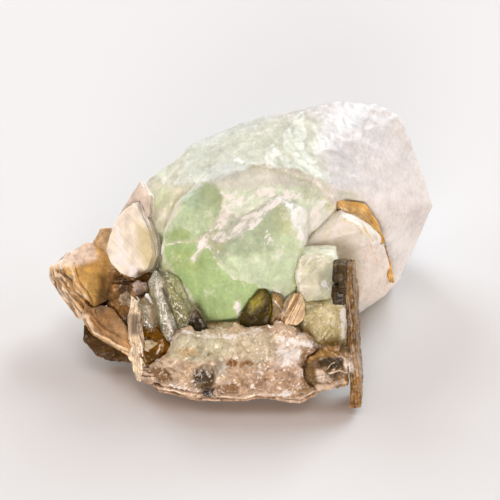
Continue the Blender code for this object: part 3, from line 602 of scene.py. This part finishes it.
class Shader:
    """A Principled material and short calls for the nodes that feed it. Where they ask for a value, another
    node's output does as well."""

    def __init__(self, name):
        self.material = bpy.data.materials.new(name)
        self.material.use_nodes = True
        self.tree = self.material.node_tree
        self.surface = self.tree.nodes["Principled BSDF"]
        self.place = self.node("TexCoord", "Object", {})

    def feed(self, node, inputs):
        for socket, value in inputs.items():
            if isinstance(value, bpy.types.NodeSocket):
                self.tree.links.new(value, node.inputs[socket])
            else:
                node.inputs[socket].default_value = value

    def node(self, kind, output, inputs, **settings):
        made = self.tree.nodes.new(f"ShaderNode{kind}")
        for key, value in settings.items():
            setattr(made, key, value)
        self.feed(made, inputs)
        return made.outputs[output]

    def set(self, **inputs):
        self.feed(self.surface, {key.replace("_", " "): value for key, value in inputs.items()})

    def attribute(self, name, output="Fac"):
        return self.node("Attribute", output, {}, attribute_name=name)

    def noise(self, scale, detail, rough, place=None):
        inputs = {"Vector": place or self.place, "Scale": scale, "Detail": detail, "Roughness": rough}
        return self.node("TexNoise", "Fac", inputs)

    def lines(self, name, scale, detail):
        """Noise along one vertex layer alone: bands wherever that layer keeps its value."""
        inputs = {"W": self.attribute(name), "Scale": scale, "Detail": detail}
        return self.node("TexNoise", "Fac", inputs, noise_dimensions="1D")

    def stretched(self, along, times):
        """The place in the object, drawn out along a direction so that what is read there gets longer."""
        turn = Vector((1, 0, 0)).rotation_difference(Vector(along)).to_euler()
        inputs = {"Vector": self.place, "Rotation": turn, "Scale": (times, 1.0, 1.0)}
        return self.node("Mapping", "Vector", inputs, vector_type="TEXTURE")

    def ramp(self, value, low, high, start=0.0, end=1.0):
        inputs = {"Value": value, "From Min": low, "From Max": high, "To Min": start, "To Max": end}
        return self.node("MapRange", "Result", inputs)

    def band(self, noise, start, end):
        return self.ramp(noise, NOISE_LOW, NOISE_HIGH, start, end)

    def math(self, operation, first, second):
        return self.node("Math", 0, {0: first, 1: second}, operation=operation)

    def mix(self, share, first, second, blend="MIX"):
        first, second = ((*each, 1.0) if isinstance(each, tuple) else each for each in (first, second))
        inputs = {0: share, 6: first, 7: second}  # these are the sockets of a mix of colours
        return self.node("Mix", 2, inputs, data_type="RGBA", blend_type=blend)

    def shade(self, colour, noise, darkest, lightest):
        """The colour times a noise that runs between these two."""
        return self.mix(1.0, colour, self.band(noise, darkest, lightest), "MULTIPLY")

    def bump(self, height, strength, distance):
        inputs = {"Height": height, "Strength": strength, "Distance": distance * MM}
        self.set(Normal=self.node("Bump", "Normal", inputs))

    def absorb(self, colour, density):
        """Absorption inside the solid, with one colour and density throughout."""
        inputs = {"Color": (*colour, 1.0), "Density": density}
        volume = self.node("VolumeAbsorption", "Volume", inputs)
        self.feed(self.tree.nodes["Material Output"], {"Volume": volume})


# -------- materials
FLUORITE_IOR = 1.434
QUARTZ_IOR = 1.544
MICA_IOR = 1.58
# A crystal: how much light passes it where it is clear and where it is milky, roughness, index of
# refraction, the colour and density of its absorption, coat, and how much light it scatters inside
Crystal = namedtuple("Crystal", "clear milky rough ior tint density coat glow", defaults=(0.0, 0.25))
CRYSTALS = {
    "green_fluorite": Crystal(0.3, 0.05, 0.4, FLUORITE_IOR, (0.92, 0.95, 0.88), 6.0),
    "pale_fluorite": Crystal(0.34, 0.05, 0.2, FLUORITE_IOR, (0.92, 0.94, 0.84), 8.0),
    "cream_fluorite": Crystal(0.2, 0.05, 0.3, FLUORITE_IOR, (0.96, 0.93, 0.86), 8.0),
    "clear_quartz": Crystal(0.85, 0.2, 0.04, QUARTZ_IOR, (0.9, 0.88, 0.82), 15.0, 0.5, 0.0),
    "granular_quartz": Crystal(0.3, 0.02, 0.16, QUARTZ_IOR, (0.95, 0.9, 0.84), 12.0, 0.3),
}
# A mica: roughness, coat, how much its fine sheets and blotches differ, and how much light passes it
Mica = namedtuple("Mica", "rough coat contrast clear", defaults=(0.0,))
MICAS = {
    "brown_mica": Mica(0.3, 0.08, 0.45),
    "golden_mica": Mica(0.3, 0.12, 0.4),
    "pearly_mica": Mica(0.3, 0.3, 0.12, 0.1),
    "glossy_mica": Mica(0.18, 0.22, 0.45),
}
# Noises: how many to a metre, detail, roughness
CLOUDS = (260.0, 6.0, 0.65)
CRACKS = (170.0, 5.0, 0.6)
STROKES = (650.0, 7.0, 0.7)
STROKE_DIRECTION = (0.7, 0.45, 0.54)  # the fine torn flakes run this way, up and right in the picture
STROKE_LENGTH = 2.5
SPECKS = (1300.0, 6.0, 0.75)
BLOTCHES = (700.0, 6.0, 0.7)
STRANDS = (2.4, 5.0)  # bands: how many to a step of 1 in the layer level, detail
FINE_SHEETS = (5.0, 4.0)
CRACK_WIDTH, CRACK_COVER, CRACK_WHITE = 0.014, 0.75, (1.0, 0.98, 0.92)
CRACKED_CLOUDS = (0.42, 0.54)  # cracks show only where the clouds are past these values
FLAKE_EDGE = (0.5, 0.58)
FLAKE_COVER, FLAKE_WHITE, FLAKE_ROUGH = 0.92, (1.0, 1.0, 0.98), 0.5
OPAQUE_TONE, CLEAR_TONE = 0.15, 0.45  # dark inclusions let no light through
GLOW_REACH, GLOW_COLOUR = 4.0, (1.0, 1.0, 0.9)


def crystal_material(slot):
    """Clear to milky crystal. Reads the vertex layers tone (its colour), veil (how far it is torn into
    white flakes) and level (which the fine strands follow)."""
    look = CRYSTALS[slot]
    shader = Shader(slot.replace("_", " "))
    tone = shader.attribute("tone", "Color")
    cloud = shader.noise(*CLOUDS)
    strokes = shader.noise(*STROKES, shader.stretched(STROKE_DIRECTION, STROKE_LENGTH))
    crack = shader.math("ABSOLUTE", shader.math("SUBTRACT", shader.noise(*CRACKS), 0.5), 0.0)
    crack = shader.ramp(crack, 0.0, CRACK_WIDTH, CRACK_COVER, 0.0)
    crack = shader.math("MULTIPLY", crack, shader.ramp(cloud, *CRACKED_CLOUDS))
    torn = shader.math("ADD", shader.attribute("veil"), shader.band(strokes, -0.5, 0.5))
    flakes = shader.ramp(torn, *FLAKE_EDGE)
    body = shader.shade(tone, cloud, 0.84, 1.14)
    body = shader.shade(body, strokes, 0.94, 1.05)
    body = shader.shade(body, shader.lines("level", *STRANDS), 0.96, 1.04)
    body = shader.shade(body, shader.noise(*SPECKS), 0.85, 1.14)
    white = shader.mix(FLAKE_COVER, body, FLAKE_WHITE)
    passed = shader.ramp(torn, 0.0, 1.0, look.clear, look.milky)
    passed = shader.math("MULTIPLY", passed, shader.ramp(tone, OPAQUE_TONE, CLEAR_TONE))
    shader.set(Base_Color=shader.mix(flakes, shader.mix(crack, body, CRACK_WHITE), white))
    shader.set(Transmission_Weight=passed, Roughness=shader.ramp(flakes, 0.0, 1.0, look.rough, FLAKE_ROUGH))
    shader.set(IOR=look.ior, Coat_Weight=look.coat, Coat_Roughness=0.12)
    shader.set(Subsurface_Weight=look.glow, Subsurface_Scale=GLOW_REACH * MM, Subsurface_Radius=GLOW_COLOUR)
    shader.bump(strokes, strength=0.15, distance=0.1)
    shader.absorb(look.tint, look.density)
    return shader.material


def mica_material(slot):
    """Sheets of mica, silky and glossy. Reads the vertex layers tone, level, which the fine sheets follow,
    and lined, which says how much they show."""
    look = MICAS[slot]
    shader = Shader(slot.replace("_", " "))
    tone = shader.attribute("tone", "Color")
    fine = shader.lines("level", *FINE_SHEETS)
    blotch = shader.noise(*BLOTCHES)
    darkest, lightest = 1 - look.contrast, 1 + 0.8 * look.contrast
    for noise, share in ((fine, shader.attribute("lined")), (blotch, 1.0)):
        tone = shader.mix(share, tone, shader.shade(tone, noise, darkest, lightest))
    shader.set(Base_Color=tone, Roughness=shader.band(blotch, look.rough + 0.25, look.rough))
    shader.set(IOR=MICA_IOR, Specular_IOR_Level=0.2, Coat_Weight=look.coat, Coat_Roughness=0.1)
    shader.set(Transmission_Weight=look.clear)
    shader.bump(shader.math("ADD", fine, blotch), strength=0.5, distance=0.12)
    return shader.material


# -------- crystals
LEAST_VEIL, MOST_VEIL = -0.3, 1.2
ARC_CENTRE = (34.0, 20.0, 10.0)  # the fine strands of the big crystal run in arcs about this point
ARC_SCALE = np.array((2.6, 0.35, 0.5))  # how fine they are across the arcs, to the right and up
HAZE_START, HAZE_WIDTH = 290, 60  # from here on to the right (pixels) the big crystal is smooth and clear
FOOT = 1.5  # below this height the big crystal's surface comes ever closer to its solid's


def dress_mass(material):
    """The big crystal: soft conchoidal waves, shallow facets and white frosted bands."""
    mesh = remeshed("fluorite_mass", voxel=0.36, smoothing=20)
    points, normals = arrays_of(mesh)
    base = zoned(warped(points, size=6.0, far=1.5, seed=40), MASS_ZONES)
    marks = Marking(points, normals, base, veil=0.05)
    marks.add(MASS_PATCHES + MASS_STREAKS)
    arc = np.linalg.norm(points / MM - np.array(ARC_CENTRE), axis=1) + 1.2 * fractal(points, 7.0, 60)
    sweep = np.stack([arc, points[:, 0] / MM, points[:, 2] / MM], axis=1) * ARC_SCALE * MM
    strands = fractal(sweep, 2.2, 61)
    haze = smooth((seen_at(points)[:, 0] - HAZE_START) / HAZE_WIDTH)
    hidden = smooth(-(normals @ VIEW_AWAY) / 0.3)
    top = smooth((normals[:, 2] - 0.6) / 0.25)
    moved = 0.1 + 0.3 * fractal(points, 7.0, 62) + 0.12 * strands
    broken = (0.14 + 0.15 * marks.veil) * (1 - 0.7 * haze) + 0.2 * hidden
    moved += broken * (cleaved(points, normals, 2.6, 63) + cleaved(points, normals, 1.1, 64))
    moved += marks.rise
    moved *= np.clip(points[:, 2] / MM / FOOT, 0, 1)
    set_points(mesh, points + normals * (moved * MM)[:, None])
    # painted shade: the tone is made darker on faces that look up and on faces turned from the camera
    painted_shade_up_and_back = (1 - 0.22 * top) * (1 - 0.14 * hidden)
    veil = marks.veil + (0.25 - 0.15 * haze) * fractal(points, 2.5, 65)
    paint(mesh, tone=marks.tone * ((1 + 0.06 * strands) * painted_shade_up_and_back)[:, None],
          veil=np.clip(veil, LEAST_VEIL, MOST_VEIL), level=arc)
    add_piece("crystal_mass", mesh, "fluorite_mass", material, 50)


def dress_block(name, node, material, base, marks_on, voxel, milk, seed, broken=0.14, grow=0.3,
                grain=20):
    """A smaller crystal or block with cleavage steps and frosted edges: milk is how milky it is, broken how
    high its steps are, grow how much fuller than its solid it is, grain the angle of its fine strands."""
    mesh = remeshed(node, voxel, smoothing=3)
    points, normals = arrays_of(mesh)
    tone = np.tile(np.array(base), (len(points), 1)) * (1 + 0.1 * fractal(points, 3.0, seed))[:, None]
    marks = Marking(points, normals, tone, veil=milk, ragged=1.2)
    marks.add(marks_on)
    moved = grow + 0.12 * fractal(points, 3.0, seed + 1) + marks.rise
    moved += broken * (cleaved(points, normals, 1.8, seed + 2) + cleaved(points, normals, 0.7, seed + 5))
    set_points(mesh, points + normals * (moved * MM)[:, None])
    veil = marks.veil + 0.25 * fractal(points, 1.5, seed + 9)
    paint(mesh, tone=marks.tone, veil=np.clip(veil, LEAST_VEIL, MOST_VEIL),
          level=across_strands(points, grain) + 0.6 * fractal(points, 4.0, seed + 12))
    add_piece(name, mesh, node, material, 45)


def dress_fluorite():
    green, pale, cream = (crystal_material(f"{name}_fluorite") for name in ("green", "pale", "cream"))
    dress_mass(green)
    dress_block("crystal_pale", "fluorite_pale_crystal", pale, (0.93, 0.95, 0.74),
                PALE_MARKS, voxel=0.2, milk=0.15, seed=7, grain=-50)
    dress_block("crystal_lower", "fluorite_lower_block", pale, (0.78, 0.7, 0.38),
                LOWER_MARKS, voxel=0.2, milk=0.25, seed=9, broken=0.3)
    dress_block("crystal_cream", "fluorite_cream_block", cream, (1.0, 0.98, 0.88),
                CREAM_MARKS, voxel=0.24, milk=0.0, seed=11, broken=0.06)


def dress_prisms():
    clear = crystal_material("clear_quartz")
    prisms = (("long", (0.92, 0.9, 0.76), 75), ("green", (0.93, 0.94, 0.6), 60),
              ("short", (0.6, 0.5, 0.3), 75))
    for number, (name, base, grain) in enumerate(prisms):
        dress_block(f"prism_{name}", f"quartz_prism_{name}", clear, base, PRISM_MARKS,
                    voxel=0.13, milk=0.0, seed=30 + 3 * number, grow=0.15, grain=grain)


# -------- ledge
LEDGE_COLOUR = (0.78, 0.6, 0.42)
LEDGE_MILK = 0.35
# The ledge's grains: their size, how steeply they tilt, how much their shades differ, seed
LEDGE_GRAINS = ((2.4, 0.14, 0.16, 72), (1.1, 0.24, 0.22, 82), (0.6, 0.2, 0.12, 92))


def dress_ledge():
    """The granular quartz: soft swellings broken into small tilted grains."""
    mesh = remeshed("quartz_ledge", voxel=0.2, smoothing=14, closing=1.0)
    points, normals = arrays_of(mesh)
    base = np.tile(np.array(LEDGE_COLOUR), (len(points), 1))
    marks = Marking(points, normals, base, LEDGE_MILK, ragged=2.4)
    marks.add(LEDGE_MARKS)
    moved = 0.1 + 0.3 * fractal(points, 4.0, 70) + marks.rise
    speckle = 0.12 * fractal(points, 2.0, 95)
    for size, slope, contrast, seed in LEDGE_GRAINS:
        tilted, chance, near = chipped(points, normals, size, seed)
        moved += slope * tilted - 0.05 * size * near
        speckle += contrast * (chance - 0.5)
    set_points(mesh, points + normals * (moved * MM)[:, None])
    veil = marks.veil - 0.1 + 0.3 * fractal(points, 1.2, 96)
    paint(mesh, tone=marks.tone * (1 + speckle)[:, None], veil=np.clip(veil, LEAST_VEIL, 1.0),
          level=across_strands(points, -35) + 0.8 * fractal(points, 3.0, 97))
    SKINS["quartz_ledge"] = points
    material = crystal_material("granular_quartz")
    add_piece("ledge_quartz", mesh, "quartz_ledge", material, 40)
    return material


# -------- mica
# How a book of mica looks: the colours of its rims and faces, and the dark colour of its grooves, which is
# painted shade between the sheets; how thick a sheet is, how far sheets step in and out at the rim, how wavy
# they lie, how deep the broken steps of the faces are, how far it is crumpled into small facets, which glint
# and also get painted glints and shade, the angle in the picture of its fine strands (None: along the
# sheets), how much fuller it is than its solid, how far it leans left going up, how far it is pushed right
Look = namedtuple("Look", "rim face deep pitch ragged wavy step crumple grain grow lean push",
                  defaults=(None, 0.3, 0, 0))
PLATE = Look((0.07, 0.045, 0.015), (0.05, 0.03, 0.01), (0.01, 0.01, 0.005), 0.5, 0.2, 0.3, 0.2, 0.2, 87, 0)
BOOK_LOOKS = {
    "mica_book_outer": Look((0.86, 0.72, 0.58), (0.56, 0.33, 0.11), (0.12, 0.055, 0.01),
        0.8, 1.3, 1.7, 0.3, 0.05),
    "mica_book_middle": Look((0.74, 0.56, 0.38), (0.5, 0.34, 0.18), (0.13, 0.06, 0.02),
        0.7, 0.9, 1.3, 0.4, 0.1),
    "mica_slab_lower": Look((0.8, 0.57, 0.32), (0.42, 0.24, 0.1), (0.1, 0.045, 0.01),
        0.6, 0.7, 0.8, 0.3, 0.05),
    "mica_book_under": Look((0.17, 0.08, 0.02), (0.06, 0.03, 0.005), (0.03, 0.015, 0.005),
        0.7, 0.8, 0.8, 0.4, 0.2),
    "mica_book_inner": Look((0.28, 0.16, 0.06), (0.19, 0.1, 0.03), (0.03, 0.02, 0.005),
        0.7, 1.2, 1.0, 0.8, 0.4),
    "mica_book_pearl": Look((0.97, 0.94, 0.9), (0.94, 0.88, 0.76), (0.7, 0.55, 0.35),
        0.5, 0.4, 0.4, 0.15, 0.0, 50),
    "mica_sheet_back": Look((0.86, 0.78, 0.68), (0.76, 0.67, 0.58), (0.4, 0.28, 0.18),
        0.4, 0.3, 0.4, 0.1, 0.0),
    "mica_seam_fan": Look((0.6, 0.34, 0.09), (0.6, 0.4, 0.16), (0.36, 0.17, 0.03),
        0.35, 0.9, 0.5, 0.3, 0.1, 52),
    "mica_seam_tail": Look((0.7, 0.44, 0.18), (0.64, 0.38, 0.12), (0.4, 0.2, 0.03),
        0.35, 0.5, 0.3, 0.2, 0.1, 70, -0.3),
    "mica_book_olive": Look((0.22, 0.16, 0.01), (0.07, 0.05, 0.0), (0.03, 0.02, 0.0),
        0.5, 0.3, 0.5, 0.3, 0.2),
    "mica_book_streaked": Look((0.7, 0.54, 0.3), (0.34, 0.24, 0.1), (0.06, 0.04, 0.01),
        0.4, 0.4, 0.5, 0.3, 0.2, -60),
    "mica_book_tan": Look((0.92, 0.74, 0.52), (0.88, 0.68, 0.44), (0.34, 0.19, 0.05),
        0.35, 0.4, 0.6, 0.2, 0.0, -62),
    "mica_book_dark": Look((0.3, 0.26, 0.18), (0.04, 0.03, 0.015), (0.02, 0.015, 0.005),
        0.5, 0.4, 0.4, 0.3, 0.4),
    "mica_pocket": Look((0.42, 0.22, 0.01), (0.15, 0.065, 0.0), (0.04, 0.02, 0.0), 0.6, 0.8, 1.0, 0.6, 0.5),
    "mica_patch_right": Look((0.5, 0.36, 0.24), (0.27, 0.18, 0.1), (0.03, 0.02, 0.01),
        0.6, 0.6, 0.8, 0.5, 0.6, None, 0.5),
    "mica_blade": Look((0.3, 0.17, 0.06), (0.23, 0.125, 0.04), (0.05, 0.03, 0.01),
        0.45, 0.5, 0.4, 0.3, 0.3, 87, -0.1, 0.05),
    "mica_blade_head": PLATE._replace(grow=0.6),
    "mica_blade_step": PLATE._replace(crumple=0.3, grow=0.5),
    "mica_rim": Look((1.0, 0.9, 0.74), (0.9, 0.72, 0.5), (0.12, 0.06, 0.02),
        0.55, 0.7, 0.7, 0.3, 0.1, 85, -0.5, 0, 0.9),
    "mica_sole": Look((0.86, 0.66, 0.5), (0.5, 0.36, 0.25), (0.13, 0.07, 0.03), 0.6, 0.8, 0.6, 0.4, 0.2),
    "mica_book_rear": Look((0.62, 0.44, 0.27), (0.36, 0.23, 0.12), (0.14, 0.07, 0.02),
        0.7, 1.0, 0.9, 0.5, 0.1),
}
FILLING = Look((0.36, 0.21, 0.08), (0.24, 0.13, 0.045), (0.03, 0.015, 0.004), 0.7, 0.9, 1.0, 0.8, 0.2)
CORNER = Look((0.86, 0.68, 0.52), (0.5, 0.34, 0.22), (0.13, 0.07, 0.03), 0.5, 0.8, 0.5, 0.3, 0.2)
GOLDEN = ("mica_book_outer", "mica_book_tan", "mica_pocket", "mica_seam_fan", "mica_seam_tail")
PEARLY = ("mica_book_pearl", "mica_sheet_back")
BOOK_VOXEL = 0.185
MICA_CREASE = 35
GLOSSY_CRUMPLE = 0.25  # books crumpled more than this are glossy
SHEET_SHIFT = (13.7, 5.1, 9.3)  # each sheet of a book reads its rim from another part of the noise
LEAN_PIVOT = 10.0  # a book leans about this height
GROOVE_SHARE = 0.3  # of a sheet's thickness
TERRACES = 4
FOIL_SIZES = (2.0, 0.9)  # of the crumpled facets


def facing_of(mesh):
    """The direction that a book's sheets face: the one that most of its surface looks along."""
    spread = np.zeros((3, 3))
    for face in mesh.polygons:
        normal = np.array(face.normal)
        spread += face.area * np.outer(normal, normal)
    _, vectors = np.linalg.eigh(spread)
    facing = vectors[:, 2]
    return facing if facing @ VIEW_AWAY > 0 else -facing


def make_sheets(mesh, up, look, seed):
    """Turns a mesh into a book of mica: its rims step in and out sheet by sheet, its faces are broken in
    shallow terraces. Returns the new points."""
    rim, face, deep = (np.array(colour) for colour in (look.rim, look.face, look.deep))
    points, normals = arrays_of(mesh)
    at_rim = smooth(1.5 - 1.8 * np.abs(normals @ up))

    # Which sheet a point belongs to, and where it lies in that sheet
    level = (points @ up) / MM + 0.7 * look.wavy * fractal(points, 5.0, seed, 3)
    sheet = level / look.pitch + 0.5 * np.sin(2.1 * level + seed)
    number = np.floor(sheet)
    chance = dice(np.stack([number, number * 0 + seed, number * 0], axis=1).astype(np.int64), seed)
    flat = points - np.outer(points @ up, up) + np.outer(number, SHEET_SHIFT) * MM
    inset = np.clip(0.5 + 0.9 * fractal(flat, 2.6, seed + 3, 4), 0, 1)
    groove = smooth(1 - (sheet - number) / GROOVE_SHARE)
    terrace = np.floor(fractal(points, 4.5, seed + 20, 5) * TERRACES + 0.5) / TERRACES

    # Its shape
    moved = look.grow - at_rim * look.ragged * (inset + 0.2 * groove - 0.1)
    moved += (1 - at_rim) * look.step * terrace
    # painted glints and shade: each crumpled facet gets its own brightness, and the brightest turn white
    facet_glint_and_shade = np.ones(len(points))
    if look.crumple:
        for size in FOIL_SIZES:
            tilted, lucky, _ = chipped(points, normals, size, seed + 31)
            moved += 0.35 * look.crumple * tilted
            facet_glint_and_shade *= 1 + look.crumple * (1.6 * lucky**4 - 0.45 * (1 - lucky))
    sway = look.wavy * fractal(points, 6.0, seed + 40, 2)

    # Its colours, with painted shade on sheets set back at the rim and in the grooves between the sheets
    shade = (0.55 + 0.75 * chance) * (1 - 0.55 * smooth(2 * inset - 0.9))
    edge = rim * shade[:, None]
    edge = edge * (1 - groove[:, None]) + deep * groove[:, None]
    flats = face * (1 + 0.25 * terrace + 0.45 * fractal(points, 2.8, seed + 60))[:, None]
    tone = flats * (1 - at_rim[:, None]) + edge * at_rim[:, None]
    tone = tone * facet_glint_and_shade[:, None] + 0.12 * np.maximum(facet_glint_and_shade - 1.6, 0)[:, None]
    marks = Marking(points, normals, tone, ragged=1.5, front_only=False)
    marks.add(MICA_MARKS)
    lined = 0.15 + 0.85 * at_rim
    if look.grain is not None:
        level = across_strands(points, look.grain) + 0.35 * fractal(points, 4.0, seed + 50)
        lined = np.ones(len(points))

    placed = points + (normals * (moved + marks.rise)[:, None] + np.outer(sway, up)) * MM
    placed[:, 0] += look.push * MM - look.lean * (placed[:, 2] - LEAN_PIVOT * MM)
    set_points(mesh, placed)
    paint(mesh, tone=marks.tone, level=level, lined=lined)
    return placed


def dress_mica():
    material = {slot: mica_material(slot) for slot in MICAS}
    for number, (node, look) in enumerate(BOOK_LOOKS.items()):
        up = facing_of(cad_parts[node].data)
        mesh = remeshed(node, BOOK_VOXEL, smoothing=3)
        SKINS[node] = make_sheets(mesh, up, look, seed=11 * number + 3)
        slot = "golden_mica" if node in GOLDEN else "pearly_mica" if node in PEARLY else "brown_mica"
        finish = "glossy_mica" if look.crumple > GLOSSY_CRUMPLE else slot
        add_piece(node.replace("mica_", "sheets_"), mesh, node, material[finish], MICA_CREASE)
    return material["brown_mica"]


# -------- small pieces
# A lump rests on a node's skin where it is seen: its place in the picture, its half sizes (right, up in
# the picture, towards the camera) and how deep it is sunk, all in millimetres
Lump = namedtuple("Lump", "node place sizes sunk")
STEEP = np.array((0.2, -0.5, 0.84))
QUARTZ_LUMPS = {  # with its colour and how milky it is
    "lump_pocket": (Lump("mica_pocket", (150, 344), (1.3, 1.1, 1.3), -0.1), (0.8, 0.68, 0.42), 0.1),
    "lump_inner_left": (Lump("mica_book_inner", (124, 298), (1.4, 1.3, 1.2), 0.3), (0.46, 0.36, 0.24), 0.05),
    "lump_inner_right": (Lump("mica_book_inner", (133, 304), (1.5, 1.2, 1.2), 0.3), (0.52, 0.4, 0.28), 0.1),
    "lump_inner_top": (Lump("mica_book_inner", (141, 288), (1.5, 1.3, 1.2), 0.0), (0.62, 0.5, 0.42), 0.25),
    "lump_under": (Lump("quartz_ledge", (208, 394), (1.5, 0.8, 1.0), 0.5), (0.05, 0.04, 0.04), -0.3),
}
SHEET_LUMPS = {  # with its look and the direction that its sheets face
    "sheets_filling": (Lump("mica_book_middle", (110, 296), (4.2, 5.0, 3.5), 3.4), FILLING, STEEP),
    "sheets_neck": (Lump("mica_blade_head", (344, 284), (0.8, 2.0, 0.9), 0.5), PLATE, VIEW_UP),
    # a dark sheet lump that fills a gap, standing in as painted shade under the pearly book
    "sheets_shade_hollow": (Lump("mica_book_inner", (147, 279), (2.4, 1.6, 1.6), 1.0), FILLING, STEEP),
    "sheets_corner": (Lump("quartz_ledge", (147, 370), (2.0, 2.6, 1.6), 0.9), CORNER, VIEW_UP),
}
QUARTZ_LUMP_CREASE = 30


def make_lump(lump):
    """A rounded mesh that rests where the camera sees that place of a node's skin."""
    skin = SKINS[lump.node]
    near = np.linalg.norm(seen_at(skin) - np.array(lump.place), axis=1)
    close = skin[near < near.min() + 1.5]
    rest = close[np.argmax(close @ VIEW_AWAY)] - VIEW_AWAY * lump.sunk * MM
    source = bmesh.new()
    bmesh.ops.create_icosphere(source, subdivisions=5, radius=1.0)
    mesh = bpy.data.meshes.new("lump")
    source.to_mesh(mesh)
    source.free()
    points, _ = arrays_of(mesh)
    ways = zip((VIEW_RIGHT, VIEW_UP, VIEW_AWAY), points.T, lump.sizes)
    right, up, away = (np.outer(share, way) * size for way, share, size in ways)
    set_points(mesh, rest + (right + up + away) * MM)
    return mesh


def add_lumps(quartz, mica):
    for number, (name, (lump, colour, milk)) in enumerate(QUARTZ_LUMPS.items()):
        mesh = make_lump(lump)
        points, normals = arrays_of(mesh)
        moved = 0.3 * fractal(points, 1.6, 200 + number)
        for size in (1.6, 0.8):
            moved += 0.3 * chipped(points, normals, size, 210 + number)[0]
        set_points(mesh, points + normals * (moved * MM)[:, None])
        paint(mesh, tone=np.array(colour) * (1 + 0.4 * fractal(points, 1.0, 220 + number))[:, None],
              veil=milk + 0.4 * fractal(points, 1.0, 230 + number), level=points[:, 0] / MM)
        add_piece(name, mesh, None, quartz, QUARTZ_LUMP_CREASE)
    for number, (name, (lump, look, up)) in enumerate(SHEET_LUMPS.items()):
        mesh = make_lump(lump)
        make_sheets(mesh, up, look, seed=240 + 7 * number)
        add_piece(name, mesh, None, mica, MICA_CREASE)


# -------- the set
def make_floor():
    half = FLOOR_HALF * MM
    level = -FLOOR_DROP * MM
    mesh = bpy.data.meshes.new("floor")
    corners = [(-half, -half, level), (half, -half, level), (half, half, level), (-half, half, level)]
    mesh.from_pydata(corners, [], [(0, 1, 2, 3)])
    shader = Shader("floor")
    shader.set(Base_Color=(*FLOOR_COLOUR, 1.0), Roughness=1.0, Specular_IOR_Level=0.0)
    mesh.materials.append(shader.material)
    floor = add_object("floor", mesh)


def make_light():
    world = bpy.data.worlds.new("studio")
    bpy.context.scene.world = world
    world.use_nodes = True
    sky = world.node_tree.nodes["Background"]
    sky.inputs["Color"].default_value = (*SKY_COLOUR, 1.0)
    sky.inputs["Strength"].default_value = SKY_STRENGTH
    for name, azimuth, elevation, power, colour in LAMPS:
        turn, rise = math.radians(azimuth), math.radians(elevation)
        away = Vector((math.sin(turn) * math.cos(rise), -math.cos(turn) * math.cos(rise), math.sin(rise)))
        light = bpy.data.lights.new(name, "AREA")
        light.shape = "DISK"
        light.size = LAMP_SIZE * MM
        light.energy = power
        light.color = colour
        lamp = add_object(name, light)
        lamp.location = Vector((0, 0, LAMP_AIM * MM)) + away * LAMP_DISTANCE * MM
        lamp.rotation_mode = "QUATERNION"
        lamp.rotation_quaternion = away.to_track_quat("Z", "Y")


def make_camera():
    away = Vector(VIEW_AWAY)
    data = bpy.data.cameras.new("camera")
    data.sensor_width = SENSOR
    data.lens = SENSOR * VIEW_DISTANCE / VIEW_WIDTH
    data.clip_start = NEAREST_SEEN * MM
    camera = add_object("camera", data)
    camera.location = (Vector(VIEW_TARGET) + away * VIEW_DISTANCE) * MM
    camera.rotation_mode = "QUATERNION"
    camera.rotation_quaternion = away.to_track_quat("Z", "Y")
    bpy.context.scene.camera = camera


dress_fluorite()
dress_prisms()
quartz = dress_ledge()
mica = dress_mica()
add_lumps(quartz, mica)
make_floor()
make_light()
make_camera()
bpy.context.scene.view_settings.view_transform = "Standard"
